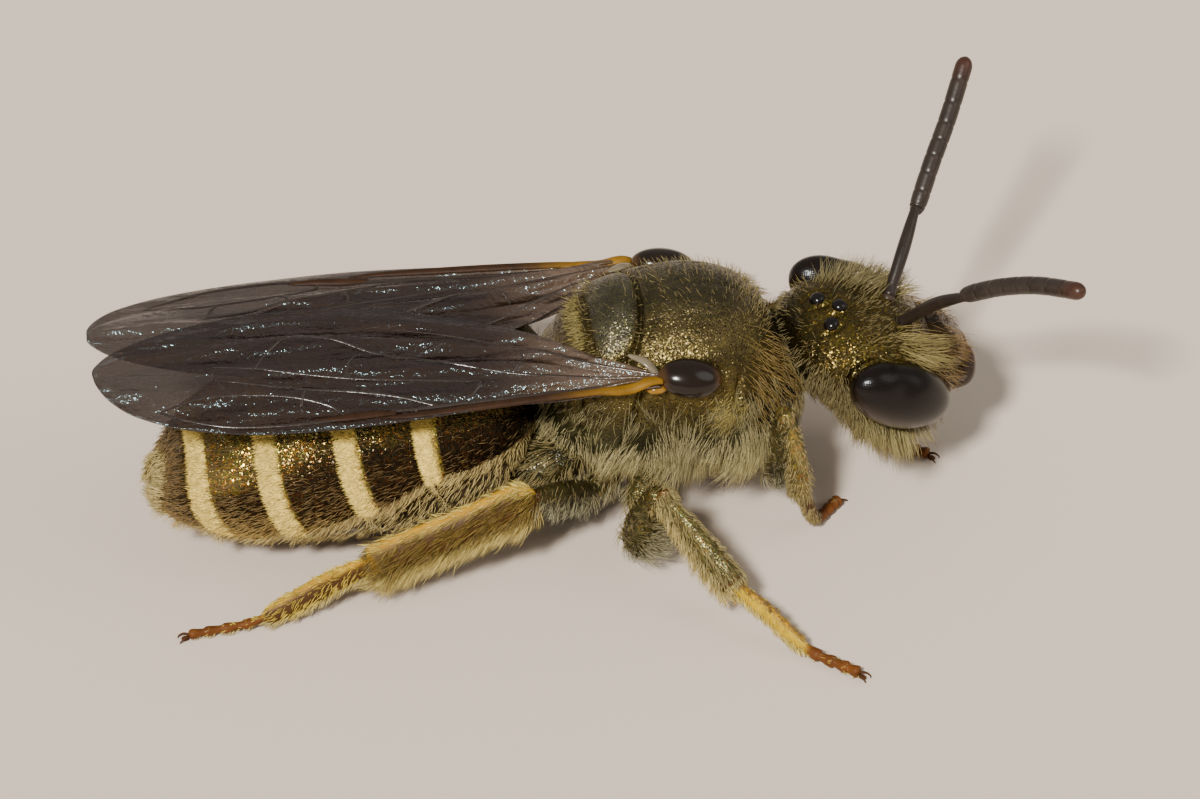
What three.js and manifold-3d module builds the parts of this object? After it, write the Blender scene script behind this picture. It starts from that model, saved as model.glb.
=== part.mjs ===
// A female furrow bee, genus Halictus, at life size: about 8 mm from face to tail, standing, wings folded.
// Millimetres. +X is ahead, +Y is the bee's left, +Z is up. Places are measured from the point midway
// between the two wing roots, and the whole group is then set down on the floor.
import * as THREE from "three";
import { mergeVertices } from "three/addons/utils/BufferGeometryUtils.js";
import Module from "manifold-3d";

const wasm = await Module();
wasm.setup();

// ---------------------------------------------------------------- driving dimensions
const STANCE = 2.15; // height of the wing roots over the floor
const FLOOR = -STANCE;
const GAP = 0.02; // clearance between pieces that meet
const ROUND = 24; // facets round the trunk
const LIMB_SIDES = 10; // facets round a leg or an antenna
const SMOOTHING = 0.008; // how far a surface may move when needless facets are dropped
const LIMB = 0.46; // least thickness of a leg or feeler

const SIDES = { right: -1, left: 1 };

// ---------------------------------------------------------------- materials
const coat = (name, color, roughness, metalness) => {
  const material = new THREE.MeshStandardMaterial({ color, roughness, metalness });
  material.name = name;
  return material;
};
const MATERIALS = {
  brassy: () => coat("brassy_cuticle", 0x5e5a2a, 0.38, 0.75),
  dark: () => coat("banded_abdomen", 0x4a3c22, 0.45, 0.4),
  eye: () => coat("eye", 0x1c120d, 0.25, 0.0),
  horn: () => coat("dark_horn", 0x241a14, 0.35, 0.0),
  wing: () => coat("smoky_wing", 0x4b3a2c, 0.3, 0.0),
  leg: () => coat("leg", 0x5a4a22, 0.45, 0.4),
  amber: () => coat("amber_leg", 0x9a6a22, 0.5, 0.1),
};

// ---------------------------------------------------------------- solid helpers
const vec = (x, y, z) => new THREE.Vector3(x, y, z);
const along = (start, direction, distance) => start.clone().addScaledVector(direction, distance);

// A closed skin through a list of rings, each { centre, across, up }, with a pole beyond each end ring.
function loft(rings, sides, startPole, endPole) {
  const positions = [];
  const triangles = [];
  positions.push(...startPole.toArray());
  for (const { centre, across, up } of rings) {
    for (let i = 0; i < sides; i++) {
      const turn = (2 * Math.PI * i) / sides;
      const point = along(along(centre, across, Math.cos(turn)), up, Math.sin(turn));
      positions.push(...point.toArray());
    }
  }
  positions.push(...endPole.toArray());
  const at = (ring, i) => 1 + ring * sides + (i % sides);
  const last = 1 + rings.length * sides;
  for (let i = 0; i < sides; i++) {
    triangles.push(0, at(0, i + 1), at(0, i));
    triangles.push(last, at(rings.length - 1, i), at(rings.length - 1, i + 1));
    for (let ring = 0; ring + 1 < rings.length; ring++) {
      triangles.push(at(ring, i), at(ring, i + 1), at(ring + 1, i + 1));
      triangles.push(at(ring, i), at(ring + 1, i + 1), at(ring + 1, i));
    }
  }
  const geometry = new THREE.BufferGeometry();
  geometry.setAttribute("position", new THREE.Float32BufferAttribute(positions, 3));
  geometry.setIndex(triangles);
  return solid(geometry);
}

// A three.js geometry as a manifold solid, turned the right way out.
function solid(geometry) {
  const bare = geometry.clone();
  bare.deleteAttribute("normal");
  bare.deleteAttribute("uv");
  const merged = mergeVertices(bare, 1e-5);
  const vertProperties = new Float32Array(merged.attributes.position.array);
  const build = (triVerts) => new wasm.Manifold(new wasm.Mesh({ numProp: 3, vertProperties, triVerts }));
  const made = build(new Uint32Array(merged.index.array));
  return made.volume() > 0 ? made : build(new Uint32Array(merged.index.array).reverse());
}

// The biggest body that a cut leaves.
function largest(made) {
  return made.decompose().reduce((a, b) => (a.volume() > b.volume() ? a : b));
}

const grown = (made, clearance) => {
  const { min, max } = made.boundingBox();
  const middle = min.map((low, k) => (low + max[k]) / 2);
  const factor = min.map((low, k) => 1 + (2 * clearance) / (max[k] - low));
  return made.translate(middle.map((m) => -m)).scale(factor).translate(middle);
};

// Cuts a piece so that it only meets its neighbours, with the clearance between them.
const meeting = (made, ...neighbours) =>
  largest(neighbours.reduce((left, other) => left.subtract(grown(other, GAP)), made));

const tidy = (made) => largest(made.simplify(SMOOTHING));

function block(xMin, xMax, yMin, yMax, zMin, zMax) {
  const box = new THREE.BoxGeometry(xMax - xMin, yMax - yMin, zMax - zMin);
  box.translate((xMin + xMax) / 2, (yMin + yMax) / 2, (zMin + zMax) / 2);
  return solid(box);
}

function ellipsoid(centre, axes, columns, rows) {
  const ball = new THREE.SphereGeometry(1, columns, rows);
  const [a, b, c] = axes;
  ball.applyMatrix4(new THREE.Matrix4().makeBasis(a, b, c).setPosition(centre));
  return solid(ball);
}

// A rounded limb through a few stations, each { at, wide, deep }: wide is measured along `side`.
function limb(stations, side, sides = LIMB_SIDES, steps = 2) {
  const spine = new THREE.CatmullRomCurve3(stations.map((s) => s.at), false, "centripetal");
  const spans = stations.length - 1;
  const rings = [];
  for (let k = 0; k <= spans * steps; k++) {
    const t = k / (spans * steps);
    const span = Math.min(Math.floor(t * spans + 1e-9), spans - 1);
    const share = t * spans - span;
    const [from, to] = [stations[span], stations[span + 1]];
    const tangent = spine.getTangent(t);
    const up = tangent.clone().cross(side).normalize();
    const across = up.clone().cross(tangent).normalize();
    rings.push({
      centre: spine.getPoint(t),
      across: across.multiplyScalar(THREE.MathUtils.lerp(from.wide, to.wide, share) / 2),
      up: up.multiplyScalar(THREE.MathUtils.lerp(from.deep, to.deep, share) / 2),
      tangent,
    });
  }
  const cap = (ring, sign) => along(ring.centre, ring.tangent, sign * 0.45 * ring.up.length());
  return loft(rings, sides, cap(rings[0], -1), cap(rings.at(-1), 1));
}

// ---------------------------------------------------------------- trunk
// Each row is the trunk's section at x: half its width, then the height of its back and of its belly.
const trunkRing = ([x, half, top, bottom], lean = 0) => ({
  centre: vec(x, 0, (top + bottom) / 2),
  across: vec(0, half, 0),
  up: vec(-lean, 0, 1).multiplyScalar((top - bottom) / 2),
});

const THORAX = [
  [-1.34, 0.42, -0.56, -1.18],
  [-1.22, 0.68, -0.24, -1.34],
  [-1.0, 0.88, 0.1, -1.46],
  [-0.72, 0.99, 0.3, -1.56],
  [-0.3, 1.05, 0.42, -1.62],
  [0.2, 1.06, 0.44, -1.63],
  [0.6, 0.98, 0.32, -1.6],
  [0.9, 0.82, 0.06, -1.48],
  [1.12, 0.62, -0.2, -1.28],
  [1.22, 0.42, -0.38, -1.05],
];
const SCUTELLUM = { from: -0.47, to: -0.9, floor: 0.02 };
const PLEURA_END = -0.66; // the mesothorax meets the propodeum here
const COLLAR_START = 0.94; // the pronotum starts here

const ABDOMEN = [
  [-1.42, 0.34, -0.66, -1.2],
  [-1.56, 0.62, -0.46, -1.44],
  [-1.85, 0.87, -0.32, -1.68],
  [-2.3, 1.03, -0.24, -1.86],
  [-2.9, 1.13, -0.21, -1.97],
  [-3.45, 1.15, -0.27, -2.01],
  [-4.0, 1.08, -0.45, -2.01],
  [-4.45, 0.92, -0.7, -1.98],
  [-4.8, 0.68, -0.97, -1.88],
  [-5.0, 0.44, -1.18, -1.78],
  [-5.1, 0.22, -1.32, -1.66],
];
const TERGITE_ENDS = [-2.42, -3.2, -3.95, -4.55, -4.92]; // hind margins of the first five
const RING_LEAN = 0.3; // the rings' backs lie behind their bellies
const LEAN_START = -1.5;
const leanAt = (x) => RING_LEAN * THREE.MathUtils.clamp(LEAN_START - x, 0, 1);
const LIP = 0.035; // how far each tergite's hind rim stands over the next

// The section at any x, between the rows of a table.
function sectionAt(table, x) {
  const low = table.findIndex((row, k) => table[k + 1] && (row[0] - x) * (table[k + 1][0] - x) <= 0);
  const [from, to] = [table[low], table[low + 1]];
  const share = (x - from[0]) / (to[0] - from[0]);
  return from.map((value, k) => THREE.MathUtils.lerp(value, to[k], share));
}

const THORAX_POLES = { front: vec(1.27, 0, -0.7), rear: vec(-1.36, 0, -0.86) };
const thoraxRings = THORAX.map((row) => trunkRing(row));
const thoraxWhole = loft(thoraxRings, ROUND, THORAX_POLES.rear, THORAX_POLES.front);
const BEYOND = 3; // farther than any part of the trunk reaches

function thoraxPieces() {
  const slab = (from, to, floor = -BEYOND) => block(from, to, -BEYOND, BEYOND, floor, BEYOND);
  const scutellum = thoraxWhole.intersect(slab(SCUTELLUM.to, SCUTELLUM.from, SCUTELLUM.floor));
  const rest = thoraxWhole.subtract(slab(SCUTELLUM.to - GAP, SCUTELLUM.from + GAP, SCUTELLUM.floor - GAP));
  return {
    pronotum: largest(rest.intersect(slab(COLLAR_START, BEYOND))),
    mesothorax: largest(rest.intersect(slab(PLEURA_END, COLLAR_START - GAP))),
    scutellum: largest(scutellum),
    propodeum: largest(rest.intersect(slab(-2, PLEURA_END - GAP))),
  };
}

function tergite(number) {
  const from = number === 1 ? ABDOMEN[0][0] : TERGITE_ENDS[number - 2] - GAP;
  const last = number === 6;
  const to = last ? ABDOMEN.at(-1)[0] : TERGITE_ENDS[number - 1];
  const between = ABDOMEN.filter(([x]) => x < from - 0.05 && x > to + 0.05);
  const rows = [sectionAt(ABDOMEN, from), ...between, sectionAt(ABDOMEN, to)];
  const rings = rows.map((row, k) => {
    const lift = last ? 0 : (LIP * k) / (rows.length - 1);
    const [x, half, top, bottom] = row;
    return trunkRing([x, half + lift, top + lift, bottom - lift], leanAt(x));
  });
  const [first, end] = [rings[0].centre, rings.at(-1).centre];
  const tail = last ? vec(end.x - 0.06, 0, end.z) : end;
  return loft(rings, ROUND, number === 1 ? vec(first.x + 0.04, 0, first.z) : first, tail);
}

// ---------------------------------------------------------------- head
// The head has its own axes: across to the bee's left, up to the crown and out of the face.
const FACE_PITCH = THREE.MathUtils.degToRad(54); // how far the face looks up
const FACE_TURN = THREE.MathUtils.degToRad(4.2); // turn to the bee's left
const FACE_LEAN = THREE.MathUtils.degToRad(9.2); // roll about the way that the face looks
const HEAD_CENTRE = vec(1.91, 0.05, -0.54);
const HEAD_SCALE = 0.97;

const headAxes = (() => {
  const turned = new THREE.Matrix4().makeRotationZ(FACE_TURN);
  const pitched = new THREE.Matrix4().makeRotationY(-FACE_PITCH);
  const leaned = new THREE.Matrix4().makeRotationX(FACE_LEAN);
  const [out, across, up] = [vec(), vec(), vec()];
  turned.multiply(pitched).multiply(leaned).extractBasis(out, across, up);
  return { out, across, up };
})();

function headPoint(across, up, out) {
  const point = HEAD_CENTRE.clone();
  point.addScaledVector(headAxes.across, across * HEAD_SCALE);
  point.addScaledVector(headAxes.up, up * HEAD_SCALE);
  return point.addScaledVector(headAxes.out, out * HEAD_SCALE);
}
const headVector = (across, up, out) => headPoint(across, up, out).sub(HEAD_CENTRE);

// Rows down the head, from the crown to the mouth: height, half width, back and front.
const HEAD = [
  [0.95, 0.36, -0.3, 0.04],
  [0.86, 0.6, -0.44, 0.18],
  [0.62, 0.82, -0.58, 0.35],
  [0.28, 0.95, -0.64, 0.49],
  [-0.1, 0.99, -0.64, 0.56],
  [-0.45, 0.88, -0.6, 0.55],
  [-0.7, 0.7, -0.5, 0.52],
  [-0.86, 0.5, -0.36, 0.46],
];
const EYE = { across: 0.8, up: -0.02, out: 0.0, half: [0.29, 0.66, 0.36], converge: 0.14 };

function headSkull() {
  const rings = HEAD.map(([up, half, back, front]) => ({
    centre: headPoint(0, up, (back + front) / 2),
    across: headVector(half, 0, 0),
    up: headVector(0, 0, (front - back) / 2),
  }));
  return loft(rings, ROUND, headPoint(0, 1.0, -0.14), headPoint(0, -0.95, 0.1));
}

function eye(side) {
  const [thick, long, wide] = EYE.half;
  const lean = EYE.converge; // the eyes draw together towards the mouth
  const up = headVector(side * lean, 1, 0).normalize().multiplyScalar(long * HEAD_SCALE);
  const across = headVector(side, -lean, 0).normalize().multiplyScalar(thick * HEAD_SCALE);
  const out = headVector(0, 0, wide);
  return ellipsoid(headPoint(side * EYE.across, EYE.up, EYE.out), [across, up, out], 16, 9);
}

function mandible(side) {
  const deep = 0.3;
  return limb(
    [
      { at: headPoint(side * 0.5, -0.74, 0.0), wide: deep, deep: 0.34 },
      { at: headPoint(side * 0.38, -0.94, 0.1), wide: deep, deep: 0.32 },
      { at: headPoint(side * 0.18, -1.03, 0.16), wide: deep, deep: 0.3 },
    ],
    headAxes.out,
    8,
  );
}

const SOCKET = { across: 0.2, up: 0.02, out: 0.52 };
// Each feeler as steps from its socket: the scape's end, then points along the flagellum.
const FEELERS = {
  right: {
    scape: vec(0.46, -0.5, 0.55),
    lash: [vec(0.36, -0.3, 0.32), vec(0.42, -0.44, 0.25), vec(0.08, -0.27, 0.07)],
  },
  left: {
    scape: vec(0.34, 0.7, 0.44),
    lash: [vec(0.19, 0.31, 0.27), vec(0.21, 0.32, 0.28), vec(0.23, 0.4, 0.4)],
  },
};

function feeler(name) {
  const side = SIDES[name];
  const { scape, lash } = FEELERS[name];
  const socket = headPoint(side * SOCKET.across, SOCKET.up, SOCKET.out);
  const elbow = socket.clone().add(scape);
  const bow = along(socket, scape, 0.5).add(vec(0, 0, 0.04));
  const points = [elbow.clone()];
  for (const step of lash) points.push(points.at(-1).clone().add(step));
  const station = (at, size) => ({ at, wide: size, deep: size });
  const up = vec(0, 0, 1);
  const stalk = limb([station(socket, LIMB * 0.8), station(bow, LIMB), station(elbow, LIMB)], up);
  const whip = limb([
    station(along(elbow, lash[0], 0.1), LIMB * 0.85),
    ...points.slice(1, -1).map((at) => station(at, LIMB)),
    station(points.at(-1), LIMB * 0.85),
  ], up);
  return { scape: stalk, flagellum: meeting(whip, stalk) };
}

// ---------------------------------------------------------------- wings
const WING = { thick: 0.46, fall: 0.14, bulge: 0.59 };
const WING_ROOT = { x: -0.3, y: 1.0, z: -0.04 };
const WING_TIPS = { right: vec(-5.62, -0.44, 0.1), left: vec(-5.7, 0.4, 0.1) };
const OVERLAP_LIFT = 0.05; // the right forewing lies on the left one

// The forewing's outline: distance from the root, then distance out from the line from root to tip.
const FOREWING = [
  [0, 0.08], [0.8, 0.2], [1.55, 0.32], [2.67, 0.48], [3.67, 0.59], [4.44, 0.51], [5.03, 0.29], [5.38, 0.0],
  [5.3, -0.25], [5.0, -0.55], [4.5, -0.85], [3.9, -1.05], [3.2, -1.15], [2.5, -1.12], [1.8, -0.95],
  [1.2, -0.75], [0.6, -0.4], [0, -0.12],
];
const HINDWING = [
  [0.25, 0.05], [1.2, 0.22], [2.4, 0.3], [3.3, 0.2], [3.75, -0.1], [3.5, -0.45], [2.8, -0.75],
  [1.9, -0.8], [1.1, -0.65], [0.5, -0.35], [0.25, -0.15],
];

// A plate of even thickness over an outline laid along the wing, bent down towards its front edge.
function wingPlate(outline, name, lift, thick) {
  const side = SIDES[name];
  const root = vec(WING_ROOT.x, side * WING_ROOT.y, WING_ROOT.z);
  const axis = WING_TIPS[name].clone().sub(root).normalize();
  const outward = vec(0, side, 0).addScaledVector(axis, -side * axis.y).normalize();
  const fall = (out) => (-WING.fall * Math.max(out, 0)) / WING.bulge;
  const shape = new THREE.Shape(outline.map(([run, out]) => new THREE.Vector2(run, out)));
  const plate = new THREE.ExtrudeGeometry(shape, { depth: thick, bevelEnabled: false, curveSegments: 1 });
  const place = plate.attributes.position;
  for (let i = 0; i < place.count; i++) {
    const [run, out, height] = [place.getX(i), place.getY(i), place.getZ(i)];
    const point = along(along(root, axis, run), outward, out);
    point.z += lift + fall(out) + height - thick / 2;
    place.setXYZ(i, point.x, point.y, point.z);
  }
  return solid(mergeVertices(stripped(plate), 1e-5));
}

function stripped(geometry) {
  const bare = geometry.index ? geometry.toNonIndexed() : geometry.clone();
  bare.deleteAttribute("normal");
  bare.deleteAttribute("uv");
  return bare;
}

function tegula(side) {
  const axes = [vec(0.31, 0, 0), vec(0, 0.22, 0), vec(0, 0, 0.22)];
  return ellipsoid(vec(-0.02, side * 0.93, 0.0), axes, 12, 7);
}

// ---------------------------------------------------------------- legs
// Joints of each leg from the body outwards: the hip, the knee, the end of the shin, the end of the long
// first foot joint, and the toe, which is set on the floor.
const LEGS = {
  front_right: {
    coxa: vec(0.8, -0.36, -1.2), hip: vec(0.86, -0.5, -1.5), knee: vec(0.93, -1.0, -0.5),
    shin: vec(1.1, -1.0, -1.51), instep: vec(1.24, -0.78, -1.84), toe: vec(1.55, -0.38),
  },
  front_left: {
    coxa: vec(0.8, 0.36, -1.2), hip: vec(0.9, 0.5, -1.5), knee: vec(1.15, 1.06, -0.72),
    shin: vec(1.62, 0.78, -1.6), instep: vec(1.98, 0.55, -1.86), toe: vec(2.58, 0.22),
  },
  mid_right: {
    coxa: vec(-0.3, -0.42, -1.45), hip: vec(-0.54, -1.02, -1.8), knee: vec(-0.35, -1.42, -1.06),
    shin: vec(0.275, -2.08, -1.69), instep: vec(0.8, -2.64, -1.89), toe: vec(1.34, -3.08),
  },
  mid_left: {
    coxa: vec(-0.3, 0.42, -1.45), hip: vec(-0.52, 0.9, -1.78), knee: vec(-0.5, 1.44, -0.98),
    shin: vec(-0.1, 2.12, -1.69), instep: vec(0.32, 2.7, -1.89), toe: vec(0.8, 3.12),
  },
  hind_right: {
    coxa: vec(-0.72, -0.36, -1.38), hip: vec(-0.86, -0.5, -1.56), knee: vec(-1.6, -1.2, -1.12),
    shin: vec(-3.15, -1.28, -1.7), instep: vec(-4.12, -1.52, -1.9), toe: vec(-4.96, -1.6),
  },
  hind_left: {
    coxa: vec(-0.72, 0.36, -1.38), hip: vec(-0.86, 0.5, -1.56), knee: vec(-1.36, 1.5, -1.05),
    shin: vec(-2.75, 1.82, -1.7), instep: vec(-3.55, 1.95, -1.88), toe: vec(-4.35, 2.05),
  },
};
const TOE_HEIGHT = 0.17; // of a foot's middle line over the floor
// Thickness of the thigh, the shin and the foot in each pair, brushes of hair included: side by depth.
const BULK = {
  front: { thigh: [0.46, 0.5], shin: [0.46, 0.48], foot: [0.46, 0.48] },
  mid: { thigh: [0.46, 0.56], shin: [0.48, 0.5], foot: [0.46, 0.48] },
  hind: { thigh: [0.46, 0.56], shin: [0.52, 0.78], foot: [0.48, 0.56] },
};

function leg(name) {
  const [pair] = name.split("_");
  const { coxa, hip, knee, shin, instep, toe } = LEGS[name];
  const { thigh, shin: calf, foot } = BULK[pair];
  const ground = vec(toe.x, toe.y, FLOOR + TOE_HEIGHT);
  const heel = vec(instep.x, instep.y, Math.max(instep.z, FLOOR + TOE_HEIGHT));
  const station = (at, [wide, deep], share = 1) => ({ at, wide: wide * share, deep: deep * share });
  const mix = (a, b, share) => a.clone().lerp(b, share);
  const ball = mix(heel, ground, 0.45).setZ(ground.z);
  const side = knee.clone().sub(hip).cross(shin.clone().sub(knee)).normalize();
  const femur = limb(
    [station(hip, thigh, 0.8), station(mix(hip, knee, 0.45), thigh), station(knee, thigh, 0.8)],
    side,
  );
  const tibia = limb(
    [
      station(mix(knee, shin, 0.04), calf, 0.75),
      station(mix(knee, shin, 0.6), calf),
      station(shin, calf, 0.85),
    ],
    side,
  );
  const sole = limb(
    [
      station(mix(shin, heel, 0.12), foot), station(heel, foot, 0.95),
      station(ball, foot, 0.9), station(ground, foot, 0.9),
    ],
    side,
    LIMB_SIDES,
    2,
  );
  const above = block(-9, 9, -9, 9, FLOOR, 3);
  const hipBall = limb([station(coxa, [0.62, 0.62]), station(hip, [0.46, 0.46])], side);
  return {
    coxa: hipBall,
    femur: meeting(femur, hipBall),
    tibia: meeting(tibia, femur, hipBall),
    tarsus: largest(meeting(sole, tibia, femur).intersect(above)),
  };
}

// ---------------------------------------------------------------- assembly
const bee = new THREE.Group();
bee.name = "bee";

function add(name, made, material) {
  const { vertProperties, numProp, triVerts } = tidy(made).getMesh();
  const positions = new Float32Array((vertProperties.length / numProp) * 3);
  for (let i = 0; i < positions.length / 3; i++) {
    positions.set(vertProperties.subarray(i * numProp, i * numProp + 3), i * 3);
  }
  const geometry = new THREE.BufferGeometry();
  geometry.setAttribute("position", new THREE.BufferAttribute(positions, 3));
  geometry.setIndex(new THREE.BufferAttribute(triVerts, 1));
  geometry.computeVertexNormals();
  const mesh = new THREE.Mesh(geometry, material());
  mesh.name = name;
  bee.add(mesh);
}

const trunk = thoraxPieces();
const tegulae = Object.fromEntries(Object.entries(SIDES).map(([name, side]) => [name, tegula(side)]));
const rings = [1, 2, 3, 4, 5, 6].map(tergite);
const eyes = Object.fromEntries(Object.entries(SIDES).map(([name, side]) => [name, eye(side)]));
const feelers = { right: feeler("right"), left: feeler("left") };
const mandibles = { right: mandible(SIDES.right), left: mandible(SIDES.left) };
const stalks = [feelers.right.scape, feelers.left.scape];
const skull = meeting(headSkull(), eyes.right, eyes.left, trunk.pronotum);

const neck = limb(
  [
    { at: vec(1.1, 0, -0.78), wide: 0.5, deep: 0.5 },
    { at: headPoint(0, 0.1, -0.3), wide: 0.5, deep: 0.5 },
  ],
  vec(0, 1, 0),
);

add("head", skull, MATERIALS.brassy);
add("neck", meeting(neck, skull, trunk.pronotum), MATERIALS.horn);
for (const name of Object.keys(SIDES)) {
  add(`eye_${name}`, eyes[name], MATERIALS.eye);
  add(`antenna_${name}_scape`, meeting(feelers[name].scape, skull), MATERIALS.horn);
  add(`antenna_${name}_flagellum`, meeting(feelers[name].flagellum, ...stalks), MATERIALS.horn);
}
add("mandible_right", meeting(mandibles.right, skull), MATERIALS.horn);
add("mandible_left", meeting(mandibles.left, skull, mandibles.right), MATERIALS.horn);

const legs = Object.fromEntries(Object.keys(LEGS).map((name) => [name, leg(name)]));
const hips = Object.values(legs).map((pieces) => pieces.coxa);
const trunkPieces = Object.values(trunk);
for (const [name, piece] of Object.entries(trunk)) {
  add(name, meeting(piece, tegulae.right, tegulae.left), MATERIALS.brassy);
}
rings.forEach((ring, k) => {
  const before = k ? rings[k - 1] : trunk.propodeum;
  add(`abdomen_${k + 1}`, k ? ring : meeting(ring, before), MATERIALS.dark);
});
for (const [name, pieces] of Object.entries(legs)) {
  const others = hips.filter((hip) => hip !== pieces.coxa);
  const earlier = others.slice(0, hips.indexOf(pieces.coxa));
  add(`leg_${name}_coxa`, meeting(pieces.coxa, ...trunkPieces, ...earlier), MATERIALS.brassy);
  add(`leg_${name}_femur`, meeting(pieces.femur, ...trunkPieces, ...others), MATERIALS.leg);
  add(`leg_${name}_tibia`, meeting(pieces.tibia, ...trunkPieces, skull, ...rings), MATERIALS.amber);
  add(`leg_${name}_tarsus`, meeting(pieces.tarsus, ...rings), MATERIALS.amber);
}

const forewings = {
  right: wingPlate(FOREWING, "right", OVERLAP_LIFT, WING.thick),
  left: wingPlate(FOREWING, "left", 0, WING.thick),
};
const under = [...trunkPieces, ...rings, tegulae.right, tegulae.left];
const upperWings = {
  right: meeting(forewings.right, ...under),
  left: meeting(forewings.left, forewings.right, ...under),
};
for (const name of Object.keys(SIDES)) {
  add(`tegula_${name}`, tegulae[name], MATERIALS.horn);
  add(`forewing_${name}`, upperWings[name], MATERIALS.wing);
  const lower = wingPlate(HINDWING, name, -WING.thick, WING.thick);
  add(`hindwing_${name}`, meeting(lower, upperWings.right, upperWings.left, ...under), MATERIALS.wing);
}

// Set down on the floor, with the middle of the box at the origin.
const box = new THREE.Box3().setFromObject(bee);
const middle = box.getCenter(vec());
bee.position.set(-middle.x, -middle.y, -FLOOR);

export default bee;
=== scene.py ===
"""A female furrow bee (genus Halictus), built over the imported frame. Lengths here are millimetres from
the point midway between the wing roots, and become metres of the shared frame as meshes are made.
x runs to the head, y to the bee's left and z up. Colours are linear red, green and blue."""

import math

import bpy
import numpy as np
from mathutils import Matrix, Vector, kdtree


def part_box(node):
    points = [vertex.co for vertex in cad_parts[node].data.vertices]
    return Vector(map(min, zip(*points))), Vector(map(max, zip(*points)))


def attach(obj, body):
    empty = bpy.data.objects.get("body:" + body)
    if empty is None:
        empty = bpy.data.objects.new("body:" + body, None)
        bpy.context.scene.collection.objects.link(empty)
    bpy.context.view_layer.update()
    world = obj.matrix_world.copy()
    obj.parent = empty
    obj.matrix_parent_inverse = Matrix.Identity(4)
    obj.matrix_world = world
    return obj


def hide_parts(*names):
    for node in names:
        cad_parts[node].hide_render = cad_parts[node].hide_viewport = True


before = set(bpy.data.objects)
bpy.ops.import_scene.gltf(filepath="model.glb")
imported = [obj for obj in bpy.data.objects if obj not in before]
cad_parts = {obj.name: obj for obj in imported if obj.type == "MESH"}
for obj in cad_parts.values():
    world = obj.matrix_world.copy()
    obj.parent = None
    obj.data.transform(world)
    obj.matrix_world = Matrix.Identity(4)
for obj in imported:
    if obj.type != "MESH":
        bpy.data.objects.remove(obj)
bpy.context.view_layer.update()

MM = 0.001
SEED = 20260
SIDES = {"right": -1, "left": 1}
random = np.random.default_rng(SEED)


# ------------------------------------------------------------------ places read from the frame
def box_middle(node):
    """The middle of a CAD node's box, in millimetres of the frame."""
    low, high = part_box(node)
    return np.array((low + high) / 2) / MM


ROOTS_AHEAD = 0.02  # how far the wing roots lie ahead of the middles of the frame's tegulae
WING_LINE = (box_middle("tegula_right") + box_middle("tegula_left")) / 2 + np.array([ROOTS_AHEAD, 0, 0])
FLOOR = -WING_LINE[2]


def node_points(node):
    """A CAD node's vertices, in millimetres from the wing line."""
    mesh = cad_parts[node].data
    co = np.zeros(len(mesh.vertices) * 3)
    mesh.vertices.foreach_get("co", co)
    return co.reshape(-1, 3) / MM - WING_LINE


def node_edges(node):
    """A CAD node's edges, as pairs of vertex numbers."""
    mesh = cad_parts[node].data
    pairs = np.zeros(len(mesh.edges) * 2, int)
    mesh.edges.foreach_get("vertices", pairs)
    return pairs.reshape(-1, 2)


INSET_SHARE = 0.03  # a node is never cut nearer to its end than this share of its length


def spine(node, near, shares):
    """Middles of a limb node's sections, from the end nearest to `near`, at shares of its length."""
    points = node_points(node)
    middle = points.mean(0)
    axes = np.linalg.svd(points - middle, full_matrices=False)[2]
    axis = axes[0]
    along = (points - middle) @ axis
    near_side = (np.asarray(near) - middle) @ axis
    if near_side > 0:
        axis, along = -axis, -along
    low, high = along.min(), along.max()
    a, b = points[node_edges(node)].transpose(1, 0, 2)
    sa, sb = (a - middle) @ axis, (b - middle) @ axis
    found = []
    for share in shares:
        cut = low + (high - low) * min(max(share, INSET_SHARE), 1 - INSET_SHARE)
        crossing = (sa - cut) * (sb - cut) < 0
        t = ((cut - sa[crossing]) / (sb[crossing] - sa[crossing]))[:, None]
        hits = a[crossing] + t * (b[crossing] - a[crossing])
        flat = (hits - middle) @ axes[1:].T
        centre = (flat.min(0) + flat.max(0)) / 2
        found.append(middle + axis * (low + (high - low) * share) + centre @ axes[1:])
    return np.array(found)


# ------------------------------------------------------------------ small maths
def unit(v):
    """Vectors brought to length 1."""
    v = np.asarray(v, float)
    return v / np.maximum(np.linalg.norm(v, axis=-1, keepdims=True), 1e-12)


def bump(*offsets):
    """A smooth hill of height 1: each offset is a distance from its middle, in widths."""
    return np.exp(-sum(o * o for o in offsets))


def smooth_step(low, high, x):
    """0 before `low` and 1 past `high`, with a smooth rise between them."""
    t = np.clip((x - low) / (high - low), 0, 1)
    return t * t * (3 - 2 * t)


def blend(a, b, share):
    """a where `share` is 0, b where it is 1."""
    return np.asarray(a) * (1 - share) + np.asarray(b) * share


def paint(tint, colour, share):
    """A tint over a surface, turned to `colour` where `share` is 1."""
    return blend(tint, colour, share[..., None])


def round_turn(columns):
    """Angles once round a ring."""
    return np.linspace(0, 2 * np.pi, columns, endpoint=False)


def squarish(turn, power):
    """Cosine and sine round a ring that grows squarer as `power` rises over 2."""
    c, s = np.cos(turn), np.sin(turn)
    return np.sign(c) * np.abs(c) ** (2 / power), np.sign(s) * np.abs(s) ** (2 / power)


def curve_through(knots, count):
    """`count` points on a smooth curve through the knots (Catmull-Rom)."""
    knots = np.asarray(knots, float)
    padded = np.vstack([2 * knots[0] - knots[1], knots, 2 * knots[-1] - knots[-2]])
    t = np.linspace(0, len(knots) - 1, count)
    k = np.minimum(t.astype(int), len(knots) - 2)
    f = (t - k)[:, None]
    p0, p1, p2, p3 = (padded[k + i] for i in range(4))
    square, cube = 2 * p0 - 5 * p1 + 4 * p2 - p3, 3 * p1 - p0 - 3 * p2 + p3
    return 0.5 * (2 * p1 + (p2 - p0) * f + square * f**2 + cube * f**3)


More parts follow.
